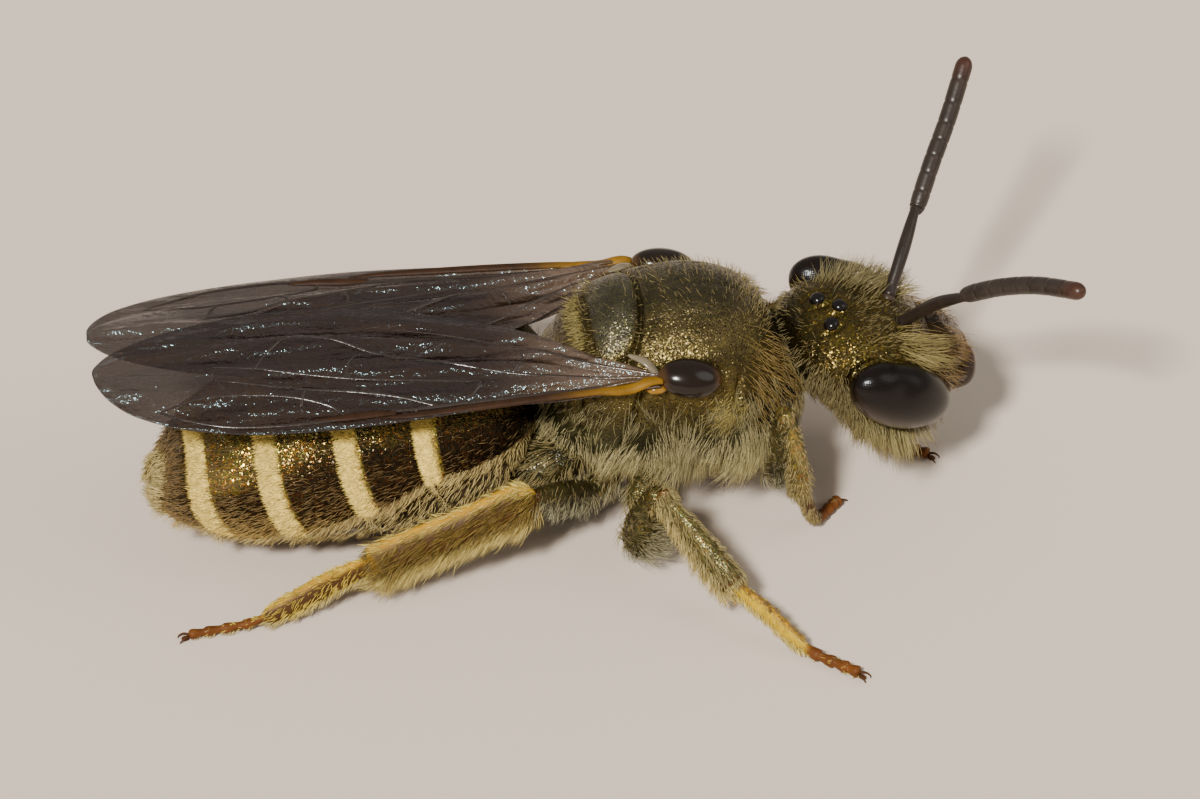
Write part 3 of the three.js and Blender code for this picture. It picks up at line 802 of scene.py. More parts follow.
def eye_axes(side):
    """An eye's three half axes, on the head."""
    across = unit([side, -EYE_LEAN, 0]) * EYE_HALF[0]
    up = unit([side * EYE_LEAN, 1, 0]) * EYE_HALF[1]
    return np.array([across, up, [0, 0, EYE_HALF[2]]])


def eye_distance(local, side):
    """1 on an eye's surface, less inside it."""
    return np.linalg.norm((local - eye_centre(side)) @ np.linalg.inv(eye_axes(side)), axis=-1)


def build_head():
    """The skull, with its face, feeler sockets, and seats for the eyes and ocelli."""
    rows = np.concatenate([CROWN - 0.1 * np.linspace(0, 1, 14) ** 2, np.linspace(0.81, CHIN, 110)])
    half, back, front = table_at(SKULL, rows)
    turn = round_turn(200)
    cheeks = 1 - smooth_step(0.35, 0.8, rows)[:, None]  # the back is squarer below the crown
    c, s = squarish(turn, 2.3 + 1.0 * cheeks * (np.sin(turn) < 0))
    local = np.zeros((len(rows), len(turn), 3))
    local[..., 0] = half[:, None] * c
    local[..., 1] = rows[:, None]
    local[..., 2] = ((back + front) / 2)[:, None] + ((front - back) / 2)[:, None] * s
    grid = Grid(from_head(local), from_head((0, 0.925, -0.13)), from_head((0, -0.94, 0.1)))
    face = carve_face(grid)
    _, u, o = np.moveaxis(to_head(grid.p), -1, 0)
    tint = np.array(HEAD_TINTS["brassy"]) * (1 - (1 - smooth_step(-0.1, 0.1, o)) * 0.45)[..., None]
    tint = paint(tint, HEAD_TINTS["lip"], face * (1 - smooth_step(-0.4, -0.1, u)))
    make_piece("head_skin", *grid.painted(tint), FACE_CUTICLE, "brassy_cuticle", ("head",))
    return grid


def carve_face(grid):
    """Raises the clypeus and cuts the sockets and seats. Returns where the face is."""
    a, u, o = np.moveaxis(to_head(grid.p), -1, 0)
    face = smooth_step(0.05, 0.25, o)
    aa = np.abs(a)
    dome = np.sqrt(((a / 0.44) ** 2 + ((u + 0.68) / 0.3) ** 2))
    h = 0.07 * face * (1 - smooth_step(0.5, 1.05, dome))
    h -= 0.022 * face * bump((dome - 1.08) / 0.07) * smooth_step(-0.95, -0.8, u)
    h += 0.045 * face * bump(a / 0.17, (u + 0.2) / 0.18)
    ring = np.sqrt((aa - SOCKET[0]) ** 2 + (u - SOCKET[1]) ** 2)
    h += 0.03 * face * bump((ring - 0.1) / 0.03) - 0.06 * face * bump(ring / 0.07)
    h += 0.014 * face * bump(a / 0.016) * smooth_step(0.0, 0.1, u) * (1 - smooth_step(0.45, 0.6, u))
    h -= 0.03 * face * bump((aa - 0.2) / 0.16, (u - 0.3) / 0.2)
    for ocellus_a, ocellus_u in OCELLI:
        away = np.hypot(a - ocellus_a, u - ocellus_u)
        h -= 0.02 * bump((away - 0.105) / 0.025) * smooth_step(-0.1, 0.05, o)
    for side in SIDES.values():
        h -= 0.03 * bump((eye_distance(to_head(grid.p), side) - 1.05) / 0.05)
    grid.raise_by(h * HEAD_UNIT)
    return face


def build_eyes():
    """The two large eyes, a little inside their solids, each with a shallow notch on its inner side."""
    for name, side in SIDES.items():
        axes = (eye_axes(side) @ HEAD_AXES) * HEAD_UNIT
        grid = ball(from_head(eye_centre(side)), axes * 0.985, 56, 72)
        _, u, o = np.moveaxis(to_head(grid.p), -1, 0)
        grid.raise_by(-0.03 * bump((u - 0.16) / 0.16, (o - 0.22) / 0.16))
        tint = paint(EYE_TINTS["facets"], EYE_TINTS["rim"], 1 - smooth_step(-0.35, 0.0, o))
        make_piece(f"eye_{name}_facets", *grid.painted(tint), EYE, "eye", (f"eye_{name}",))


def surface_point(grid, a, u):
    """The place and way out of the skull's front or crown at head coordinates (a, u)."""
    local = to_head(grid.p)
    score = np.hypot(local[..., 0] - a, local[..., 1] - u) + 2.0 * (local[..., 2] < -0.05)
    i, j = np.unravel_index(np.argmin(score), score.shape)
    return grid.p[i, j], grid.normals()[i, j]


def build_ocelli(skull):
    """The three small eyes on the crown."""
    parts = []
    for a, u in OCELLI:
        place, out = surface_point(skull, a, u)
        side = unit(np.cross(out, [0.3, 0.2, 1.0]))
        axes = np.array([side * 0.078, out * 0.055, np.cross(out, side) * 0.078])
        parts.append(ball(place, axes, 14, 20).painted(EYE_TINTS["ocellus"]))
    make_piece("ocelli", *join_parts(parts), GLOSS, "eye")


FEELER_TINTS = {
    "root": (0.04, 0.025, 0.015), "scape": (0.018, 0.012, 0.009), "lash": (0.024, 0.017, 0.013),
    "tip": (0.045, 0.017, 0.010),
}
JOINTS = np.concatenate([[0.075], np.linspace(0.075, 1, 11)[1:-1]])  # where the lash is pinched


def build_feelers():
    """Scape, pedicel and ten joints of the flagellum, along the frame's feelers."""
    for name, side in SIDES.items():
        socket = from_head((side * SOCKET[0], SOCKET[1], 0.46))
        scape = spine(f"antenna_{name}_scape", socket, (0.05, 0.5, 0.97))
        lash = spine(f"antenna_{name}_flagellum", scape[-1], (0.02, 0.3, 0.6, 1.0))
        line = curve_through([socket, *scape[1:2], scape[-1]], 30)
        t = np.linspace(0, 1, 30)
        radius = 0.048 + 0.018 * np.sin(np.pi * np.clip(t * 1.1, 0, 1)) + 0.02 * bump(t / 0.06)
        radius[-1] *= 0.6
        stalk = tube(line, (0, 0, 1), radius, radius, 20)
        root_line = curve_through([socket - (scape[1] - socket) * 0.1, socket], 4)
        root = tube(root_line, (0, 0, 1), np.full(4, 0.07), np.full(4, 0.07), 16)
        parts = join_parts([stalk.painted(FEELER_TINTS["scape"]), root.painted(FEELER_TINTS["root"])])
        make_piece(f"feeler_{name}_scape", *parts, HORN, "dark_horn", (f"antenna_{name}_scape",))
        t = np.linspace(0, 1, 154)
        line = curve_through([scape[-1], *lash], len(t))
        width = 0.058 + 0.03 * smooth_step(0.05, 0.35, t)
        for joint in JOINTS:
            width *= 1 - 0.07 * bump((t - joint) / 0.006)
        width *= np.sqrt(np.clip(1 - ((t - 0.955) / 0.046).clip(0, None) ** 2, 0.03, 1))
        width[0] *= 0.7
        whip = tube(line, (0, 0, 1), width, width, 22)
        tint = paint(FEELER_TINTS["lash"], FEELER_TINTS["tip"], smooth_step(0.86, 1.0, t)[:, None])
        make_piece(
            f"feeler_{name}_flagellum", *whip.painted(tint), HORN, "dark_horn",
            (f"antenna_{name}_flagellum",),
        )


# Places (a, u, o) down each jaw, `a` to its own side: the two cross at their tips.
JAW = [(0.46, -0.66, 0.1), (0.42, -0.88, 0.26), (0.14, -1.0, 0.36), (-0.12, -0.99, 0.33)]
JAW_TINTS = {"root": (0.03, 0.018, 0.012), "tip": (0.13, 0.035, 0.015)}
NECK = {"root": (1.02, 0, -0.72), "skull": (0, 0.05, -0.3), "radius": 0.24, "tint": (0.03, 0.02, 0.013)}


def build_mouth():
    """Crossed jaws under the clypeus, and the neck behind."""
    for name, side in SIDES.items():
        t = np.linspace(0, 1, 30)
        line = curve_through(from_head(np.array(JAW) * [side, 1, 1]), len(t))
        width = 0.11 * (1 - 0.7 * t**1.5)
        grid = tube(line, HEAD_AXES[2], width * 0.7, width, 16)
        tint = paint(JAW_TINTS["root"], JAW_TINTS["tip"], smooth_step(0.45, 0.9, t)[:, None])
        make_piece(f"jaw_{name}", *grid.painted(tint), GLOSS, "dark_horn", (f"mandible_{name}",))
    line = curve_through([NECK["root"], from_head(NECK["skull"])], 8)
    radius = np.full(len(line), NECK["radius"])
    grid = tube(line, (0, 1, 0), radius, radius, 24)
    make_piece("neck_skin", *grid.painted(NECK["tint"]), HORN, "dark_horn", ("neck",))


# ------------------------------------------------------------------ wings
WING_ROOT = np.array([-0.3, 1.0, -0.04])  # on the left side
WING_TIPS = {"right": np.array([-5.62, -0.44, 0.1]), "left": np.array([-5.7, 0.4, 0.1])}
WING_LIFT = {"right": 0.05, "left": 0.0}  # the right wing lies over the left one
WING_SLOPE = 0.14 / 0.59  # how steeply the front part of a wing falls to its edge
# Places on a wing are (run from its root to its tip, out from its axis to its front edge).
LEADING = [
    (0, 0.08), (0.8, 0.2), (1.55, 0.34), (2.67, 0.56), (3.67, 0.65), (4.44, 0.6), (4.95, 0.45), (5.22, 0.26),
    (5.36, 0.06), (5.4, -0.1),
]
TRAILING = [
    (0, -0.12), (0.6, -0.4), (1.2, -0.75), (1.8, -0.95), (2.5, -1.12), (3.2, -1.15), (3.9, -1.05),
    (4.5, -0.85), (4.95, -0.62), (5.24, -0.4), (5.37, -0.22), (5.4, -0.14),
]
HIND_LEADING = [(0.25, 0.05), (1.2, 0.22), (2.4, 0.3), (3.3, 0.2), (3.7, 0.0), (3.78, -0.14)]
HIND_TRAILING = [
    (0.25, -0.15), (0.5, -0.35), (1.1, -0.65), (1.9, -0.8), (2.8, -0.75), (3.5, -0.45), (3.78, -0.18),
]
HIND_WING_DROP = 0.07  # how far a hindwing lies under its forewing
HALF_MEMBRANE = 0.007
STOUT = 0.045  # veins of more than this half width are struts of amber horn
WING_TINTS = {
    "smoke": (0.026, 0.0125, 0.0052), "root": (0.13, 0.085, 0.055), "amber": (0.20, 0.10, 0.006),
    "strut": (0.03, 0.0135, 0.006), "vein": (0.018, 0.010, 0.006),
}


def wing_place(name, run, out, lift):
    """A place on a wing: `run` from its root towards its tip, `out` towards its front edge."""
    side = SIDES[name]
    root = WING_ROOT * [1, side, 1]
    axis = unit(WING_TIPS[name] - root)
    outward = unit(np.array([0, side, 0]) - axis * side * axis[1])
    place = root + axis * run[..., None] + outward * out[..., None]
    place[..., 2] += lift + WING_LIFT[name] - WING_SLOPE * np.maximum(out, 0)
    return place


def pleat(run, share):
    """Height of the shallow folds along a wing; `share` goes from its rear edge to its front edge."""
    folds = np.sin(share * 27 + 0.5 * np.sin(run * 2.2)) + 0.6 * np.sin(share * 11 + run * 1.4)
    return 0.02 * folds * smooth_step(0, 0.2, share) * (1 - 0.6 * smooth_step(3.6, 4.8, run))


def membrane(name, leading, trailing, lift):
    """A thin closed plate between a wing's two edges, with shallow pleats along it, and its tint."""
    first, last = leading[0][0], leading[-1][0]
    s = np.linspace(0, 1, 90)
    run = first + (last - first) * (1 - (1 - s) ** 1.6)
    front, rear = table_at(leading, run)[0], table_at(trailing, run)[0]
    t = np.linspace(0, 1, 64)
    out = rear[:, None] + (front - rear)[:, None] * t
    middle = wing_place(name, np.broadcast_to(run[:, None], out.shape), out, lift)
    middle[..., 2] += pleat(run[:, None], t[None])
    upper, lower = middle + [0, 0, HALF_MEMBRANE], middle - [0, 0, HALF_MEMBRANE]
    loop = np.concatenate([upper, lower[:, ::-1]], axis=1)
    near_root = 1 - smooth_step(0.4, 1.8, run)
    tint = paint(WING_TINTS["smoke"], WING_TINTS["root"], near_root[:, None])
    return Grid(loop, loop[0].mean(0), loop[-1].mean(0)), tint


VEINS = [  # half width, then places on the wing from root to tip
    (0.075, [(-0.02, 0.02), (0.14, 0.04), (0.3, 0.07), (0.5, 0.11), (0.75, 0.15)]),
    (0.05, [(0.0, 0.03), (0.8, 0.17), (1.55, 0.3), (2.3, 0.43), (2.7, 0.47)]),
    (0.030, [(0.0, 0.0), (0.8, 0.09), (1.6, 0.2), (2.3, 0.32), (2.75, 0.39)]),
    (0.055, [(2.52, 0.38), (2.75, 0.41), (3.0, 0.46), (3.3, 0.5)]),
    (0.020, [(3.1, 0.5), (3.6, 0.56), (4.1, 0.56), (4.5, 0.47), (4.75, 0.38)]),
    (0.018, [(3.0, 0.43), (3.15, 0.3), (3.6, 0.21), (4.3, 0.22), (4.75, 0.37)]),
    (0.018, [(2.3, 0.33), (2.0, 0.28), (1.78, 0.14), (1.7, -0.02), (1.72, -0.18)]),
    (0.020, [(0.0, -0.03), (0.6, -0.06), (1.2, -0.11), (1.72, -0.18)]),
    (0.020, [(2.08, 0.29), (2.5, 0.2), (3.0, 0.14), (3.35, 0.12), (3.8, 0.03), (4.25, -0.02)]),
    (0.017, [(2.86, 0.16), (2.8, 0.06), (2.84, -0.06)]),
    (0.017, [(3.42, 0.31), (3.4, 0.2), (3.36, 0.11)]),
    (0.018, [(4.05, 0.21), (4.16, 0.1), (4.2, -0.02)]),
    (0.020, [(1.72, -0.02), (2.3, -0.05), (2.84, -0.07), (3.5, -0.14), (4.3, -0.24)]),
    (0.019, [(1.72, -0.18), (2.2, -0.3), (2.7, -0.45), (3.1, -0.62), (3.6, -0.72)]),
    (0.017, [(3.0, -0.08), (2.95, -0.3), (2.85, -0.5)]),
    (0.017, [(3.85, -0.18), (3.75, -0.45), (3.5, -0.7)]),
    (0.017, [(1.4, -0.14), (1.3, -0.35), (1.35, -0.56)]),
    (0.016, [(0.0, -0.07), (0.7, -0.28), (1.35, -0.56), (2.0, -0.76), (2.8, -0.9)]),
]
HIND_VEINS = [
    (0.018, [(0.25, 0.0), (1.2, 0.16), (2.2, 0.22), (2.9, 0.18)]),
    (0.018, [(0.25, -0.05), (1.0, -0.05), (1.9, -0.05), (2.8, -0.1)]),
    (0.017, [(0.25, -0.1), (0.9, -0.3), (1.7, -0.48)]),
    (0.016, [(1.9, 0.2), (1.85, 0.08), (1.9, -0.05)]),
]


WINGS = (
    ("forewing", LEADING, TRAILING, VEINS, 0.0),
    ("hindwing", HIND_LEADING, HIND_TRAILING, HIND_VEINS, -HIND_WING_DROP),
)


def vein_tube(name, half, knots, edges, lift):
    """One vein on a wing, amber near the root, as points, triangles and tints."""
    run, out = curve_through(knots, 12 * len(knots)).T
    line = wing_place(name, run, out, lift)
    front, rear = (table_at(edge, run)[0] for edge in edges)
    line[:, 2] += pleat(run, np.clip((out - rear) / (front - rear), 0, 1))
    ends = np.linspace(0, 1, len(run))
    if half > STOUT:
        taper = half * np.sin(np.pi * (0.12 + 0.85 * ends)) ** 0.7
        amber, plain = 1 - smooth_step(0.2, 1.15, run), WING_TINTS["strut"]
    else:
        taper = half * (1 - 0.5 * ends**4)
        amber, plain = (1 - smooth_step(0.2, 0.8, run)) * 0.2, WING_TINTS["vein"]
    tint = paint(plain, WING_TINTS["amber"], amber[:, None])
    return tube(line, (0, 0, 1), taper * 0.6, taper, 10).painted(tint)


def build_wings():
    """Each wing's membrane, its thin veins, and the stout struts along its front edge."""
    for name in SIDES:
        for kind, leading, trailing, veins, lift in WINGS:
            grid, tint = membrane(name, leading, trailing, lift)
            make_piece(f"{kind}_{name}_membrane", *grid.painted(tint), WING, "wing", (f"{kind}_{name}",))
            parts = {"veins": [], "struts": []}
            for half, knots in veins:
                vein = vein_tube(name, half, knots, (leading, trailing), lift)
                parts["struts" if half > STOUT else "veins"].append(vein)
            for label, material in (("veins", VEIN), ("struts", AMBER_HORN)):
                if parts[label]:
                    make_piece(f"{kind}_{name}_{label}", *join_parts(parts[label]), material, "wing")


# The shield over each wing root, the two small plates behind it and the pale plate above them, on the left.
SHIELD = {"centre": (0.0, 0.93, -0.04), "axes": [(0.31, 0, -0.04), (0, 0, 0.17), (0, 0.19, -0.03)]}
SHIELD_TINTS = {"dome": (0.010, 0.0055, 0.0035), "rim": (0.06, 0.03, 0.01)}
ROOT_PLATES = (  # centre, half sizes and tint
    ((-0.33, 0.99, -0.09), (0.10, 0.06, 0.05), (0.22, 0.11, 0.01)),
    ((-0.44, 0.9, -0.06), (0.13, 0.06, 0.05), (0.16, 0.10, 0.04)),
)
SCLERITE = {
    "line": [(-0.56, 0.68, 0.11), (-0.4, 0.79, 0.08), (-0.29, 0.92, -0.02)],
    "tint": (0.17, 0.14, 0.09),
}


def build_tegulae():
    """The shields over the wing roots, with the small plates behind them."""
    for name, side in SIDES.items():
        hand = np.array([1, side, 1])
        grid = ball(SHIELD["centre"] * hand, SHIELD["axes"] * hand, 30, 48)
        rim = smooth_step(0.2, 0.3, np.abs(grid.p[..., 0]))
        parts = [grid.painted(paint(SHIELD_TINTS["dome"], SHIELD_TINTS["rim"], rim))]
        for centre, size, tint in ROOT_PLATES:
            parts.append(ball(centre * hand, np.diag(size), 12, 16).painted(tint))
        ribbon = curve_through(SCLERITE["line"] * hand, 20)
        width = 0.06 * np.sqrt(np.sin(np.pi * np.linspace(0.04, 0.96, 20)))
        parts.append(tube(ribbon, (0, 0.3, 1), width * 0.5, width, 14).painted(SCLERITE["tint"]))
        make_piece(f"tegula_{name}_shield", *join_parts(parts), GLOSS, "dark_horn", (f"tegula_{name}",))


# ------------------------------------------------------------------ legs
BULK = {  # half width and half depth of thigh, shin and first foot joint
    "front": {"femur": (0.14, 0.17), "tibia": (0.11, 0.13), "foot": (0.06, 0.07)},
    "mid": {"femur": (0.13, 0.17), "tibia": (0.11, 0.15), "foot": (0.06, 0.08)},
    "hind": {"femur": (0.11, 0.16), "tibia": (0.1, 0.19), "foot": (0.05, 0.105)},
}
COXA_BULK = (0.19, 0.19)
DARK_LEG = np.array([0.075, 0.065, 0.026])
AMBER = np.array([0.42, 0.22, 0.012])
BRASS = np.array([0.15, 0.115, 0.04])
BROWN = np.array([0.045, 0.02, 0.006])
REDDISH = np.array([0.11, 0.036, 0.007])
# The broad root of each hind leg, under the waist, on the left.
HIND_HIP = {"centre": (-1.3, 0.36, -1.36), "axes": [[0.42, 0, 0.1], [0, 0.26, 0], [-0.06, 0, 0.24]]}
ROUND_END = 0.92  # share of a limb's solid that ends where its joint turns
FIRST_JOINT = 0.54  # share of the foot that is its long first joint
FOOT_HEIGHTS = [0.5, 0.3, 0.17, 0.1, 0.07, 0.065]  # most height of the foot's places over the floor
FOOT_FOLLOW = [0, 0.2, 0.6, 1, 1, 1]  # how closely each of them comes down to that
HIND_KNEE_BACK = 0.08  # how far the hind shin's solid end reaches past its knee
leg_grids = {}


def leg_line(name):
    """The leg's joints from the frame: coxa, thigh, shin and foot, each as places down its middle."""
    coxa = node_points(f"leg_{name}_coxa").mean(0)
    femur = spine(f"leg_{name}_femur", coxa, (0.0, 0.5, ROUND_END))
    tibia = spine(f"leg_{name}_tibia", femur[-1], (0.0, 0.5, ROUND_END))
    foot = spine(f"leg_{name}_tarsus", tibia[-1], (0.0, 0.2, 0.4, 0.6, 0.78, 0.93))
    return coxa, femur, tibia, foot


def rounded(t, start):
    """1 along a limb, closing to a round end after `start`."""
    return np.sqrt(np.clip(1 - ((t - start) / (1.003 - start)).clip(0, None) ** 2, 0.05, 1))


def limb(knots, side, bulk, swell, rows, columns):
    """A limb through its knots, of a half width and half depth that `swell` scales along it."""
    t = np.linspace(0, 1, rows)
    size = swell(t) * rounded(t, 0.95)
    return tube(curve_through(knots, rows), side, bulk[0] * size, bulk[1] * size, columns)


def foot_line(foot, ankle):
    """The foot's middle line, brought down from the solid's own to the floor."""
    path = foot.copy()
    path[0] = ankle
    heights = FLOOR + np.array(FOOT_HEIGHTS)
    path[:, 2] += (np.minimum(path[:, 2], heights) - path[:, 2]) * FOOT_FOLLOW
    return curve_through(path, 120)


def build_foot(line, side, half_width, half_depth):
    """The long first joint and four short ones, each broader at its end."""
    t = np.linspace(0, 1, len(line))
    first = t < FIRST_JOINT
    share = np.where(first, t / FIRST_JOINT, (t - FIRST_JOINT) / (1 - FIRST_JOINT))
    within = (share * 4) % 1
    long_joint = (0.72 + 0.34 * np.sin(np.pi * share) ** 0.7) * (1 - 0.3 * smooth_step(0.93, 1.0, share))
    short_joint = 0.76 + 0.3 * smooth_step(0.1, 0.8, within) - 0.25 * smooth_step(0.9, 1.0, within)
    width = half_width * np.where(first, long_joint, short_joint)
    depth = np.where(first, half_depth * long_joint, half_width * 0.95 * short_joint)
    close = rounded(t, 0.97)
    return tube(line, side, width * close, depth * close, 20)


def build_leg(name):
    """The four skins of a leg, with the hind legs' broad hips, spurs at the shin's end, and claws."""
    pair, hand = name.split("_")
    coxa, femur, tibia, foot = leg_line(name)
    bulk = BULK[pair]
    hip, knee, ankle = femur[0], femur[-1], tibia[-1]
    side = unit(np.cross(knee - hip, ankle - knee))
    root = coxa + (coxa - hip) * np.array([0.24, 0.6, 0.24])
    thigh_knots = [hip, femur[1] * 0.7 + (hip + knee) * 0.15, knee]
    shin_knots = [knee, tibia[1] * 0.7 + (knee + ankle) * 0.15, ankle]
    outer, swell = side, shin_swell
    if pair == "hind":  # shin and foot are flat on their outer face
        outer, swell = unit([0, SIDES[hand], 0.5]), hind_shin_swell
        shin_knots[0] = knee - unit(ankle - knee) * HIND_KNEE_BACK
    line = foot_line(foot, ankle)
    grids = {
        "coxa": limb([root, coxa, hip], side, COXA_BULK, coxa_swell, 30, 24),
        "femur": limb(thigh_knots, side, bulk["femur"], thigh_swell, 54, 28),
        "tibia": limb(shin_knots, outer, bulk["tibia"], swell, 60, 28),
        "tarsus": build_foot(line, outer, *bulk["foot"]),
    }
    parts = {key: [grid.painted(leg_tint(pair, key, grid))] for key, grid in grids.items()}
    parts["tibia"] += spurs(ankle, tibia, side, pair)
    parts["tarsus"] += claws(line)
    if pair == "hind":
        mirror = np.array([1, SIDES[hand], 1])
        grids["hip"] = ball(HIND_HIP["centre"] * mirror, HIND_HIP["axes"], 24, 32)
        # painted shade: the hip is tinted much darker than the rest of the leg, standing in for the shade
        # under the waist and keeping its glints down
        parts["coxa"].append(grids["hip"].painted(DARK_LEG * 0.4))
    for key in parts:
        amber = key == "tarsus" or (key == "tibia" and pair == "hind")
        make_piece(
            f"leg_{name}_{key}_skin", *join_parts(parts[key]), AMBER_HORN if amber else LEG_CUTICLE,
            "leg" if key in ("coxa", "femur") else "amber_leg", (f"leg_{name}_{key}",),
        )
    leg_grids[name] = grids


def coxa_swell(t):
    """Broad at the trunk, with a groove before the short joint that bears the thigh."""
    return (1 - 0.35 * t) * (1 - 0.25 * bump((t - 0.72) / 0.05))


def thigh_swell(t):
    """Broadest at its middle."""
    return 0.6 + 0.42 * np.sin(np.pi * np.clip(t * 0.95 + 0.06, 0, 1)) ** 0.8


def shin_swell(t):
    """Slim below the knee and broad at its end."""
    return 0.52 + 0.48 * smooth_step(0.0, 0.75, t) + 0.1 * bump((t - 0.03) / 0.05)


def hind_shin_swell(t):
    """Blunt and broad at the knee, and parallel after that."""
    blunt = np.sqrt(np.clip(1 - (1 - t / 0.09).clip(0, None) ** 2, 0.12, 1))
    return blunt * (0.92 + 0.08 * bump((t - 0.14) / 0.08))


def leg_tint(pair, key, grid):
    """Dark thighs, shins with paler ends, feet from amber to red, amber upper edges on the hind shins."""
    rows = np.linspace(0, 1, len(grid.p))[:, None]
    upper = smooth_step(0.55, 0.85, grid.normals()[..., 2])
    if key == "coxa":
        return DARK_LEG
    if key == "femur":
        knee = {"front": BRASS, "mid": DARK_LEG, "hind": BROWN}[pair]
        # painted shade: the hind thigh is tinted darker, standing in for the shade it lies in behind its
        # shin
        return paint(DARK_LEG * (0.6 if pair == "hind" else 1), knee, smooth_step(0.9, 0.98, rows))
    if key == "tarsus":
        inner = {"hind": BROWN * 1.2, "mid": AMBER * [1.05, 1.3, 0.8], "front": BROWN * 1.4}[pair]
        joint = paint(inner, BRASS * 1.3 if pair == "front" else AMBER, upper)
        return paint(joint, REDDISH, smooth_step(FIRST_JOINT - 0.03, FIRST_JOINT + 0.05, rows))
    if pair == "hind":
        return paint(BROWN * [1.1, 1.1, 0.8], AMBER, np.maximum(upper, smooth_step(0.92, 1.0, rows) * 0.8))
    ends = np.maximum(1 - smooth_step(0.02, 0.12, rows), smooth_step(0.92, 0.98, rows))
    return paint(DARK_LEG * 1.2, BROWN * 2, ends) if pair == "mid" else BRASS


def spurs(ankle, tibia, side, pair):
    """Two spurs at the end of the shin, one on the front legs."""
    along = unit(tibia[-1] - tibia[0])
    parts = []
    for lean in (0.35,) if pair == "front" else (-0.3, 0.35):
        start = ankle - along * 0.05 + side * 0.06 * np.sign(lean)
        end = start + along * 0.2 + side * lean * 0.2 + np.array([0, 0, -0.03])
        line = curve_through([start, (start + end) / 2 + along * 0.01, end], 10)
        width = 0.014 * (1 - np.linspace(0, 0.9, 10))
        parts.append(tube(line, np.cross(along, side), width, width, 8).painted(AMBER * 0.7))
    return parts


# Places along a claw: ahead of the foot's tip, out from its line, and over the floor.
CLAW = [(-0.02, 0.0, 0.055), (0.035, 0.035, 0.062), (0.08, 0.05, 0.035), (0.095, 0.045, 0.009)]
PAD = {"ahead": 0.03, "up": 0.026, "half": (0.04, 0.028, 0.025)}


def claws(line):
    """Two hooked claws with a small pad between them, at the floor."""
    tip = line[-1]
    ahead = unit((line[-1] - line[-12]) * [1, 1, 0])
    across = np.cross([0, 0, 1], ahead)
    width = 0.015 * (1 - 0.75 * np.linspace(0, 1, 16))
    parts = []
    for hand in (-1, 1):
        knots = [[*(tip + ahead * out + across * hand * wide)[:2], FLOOR + up] for out, wide, up in CLAW]
        parts.append(tube(curve_through(knots, 16), (0, 0, 1), width, width, 8).painted(REDDISH * 0.45))
    centre = [*(tip + ahead * PAD["ahead"])[:2], FLOOR + PAD["up"]]
    axes = np.array([ahead, across, [0, 0, 1]]) * np.array(PAD["half"])[:, None]
    parts.append(ball(centre, axes, 10, 14).painted(REDDISH * 0.6))
    return parts


# ------------------------------------------------------------------ coats
def patch(grid, count, density, length, width, rise, tint, lie=None, **ways):
    """Hairs over a grid, as dense as `density` says. Length, lie and tint may depend on the roots."""
    root, normal, along, uv = grid.roots(count, density)
    if lie is None:
        lie = along
    elif callable(lie):
        lie = lie(root, normal)
    lie = np.broadcast_to(lie, root.shape)
    length = length(root) if callable(length) else length
    tint = tint(root) if callable(tint) else tint
    return dict(
        root=root, normal=normal, lie=lie, uv=uv, length=length, width=width, rise=rise, tint=tint, **ways,
    )


def swirl(root, size, amount):
    """A slow turning of the lie of the coat, as an angle at each root."""
    x, y, z = root.T / size
    return amount * (np.sin(2.1 * x + 1.3 * z) + np.sin(1.7 * z - 2.6 * x + 0.8 * y)) / 2


BARE_PLACES = (  # on each flank: how bare, then middle and size along x, then middle and size along z
    (0.92, -0.78, 0.2, -0.72, 0.3),
    (0.6, -0.38, 0.18, -0.8, 0.22),
    (0.85, -0.98, 0.3, -1.3, 0.32),
)


def hanging(root, normal):
    """The lie of the flanks' hair: down, in swirls."""
    angle = swirl(root, 0.3, 0.55) - 0.25
    return np.column_stack([np.sin(angle), 0 * angle, -np.cos(angle)]) + normal * 0.1


def flank_length(root):
    """Longest low on the flank and before its middle, with a ragged edge."""
    x, _, z = root.T
    ragged = (1 + 0.22 * np.sin(9 * x + 2)) * (0.65 + 0.35 * smooth_step(-0.9, -0.3, x))
    return (0.18 + 0.24 * smooth_step(-0.5, -1.1, z)) * ragged


def flank_tint(root):
    """Palest low on the flank."""
    return PALE_HAIR * [1.05, 0.98, 0.76] * (0.42 + 0.48 * smooth_step(-0.4, -1.2, root[:, 2]))[:, None]


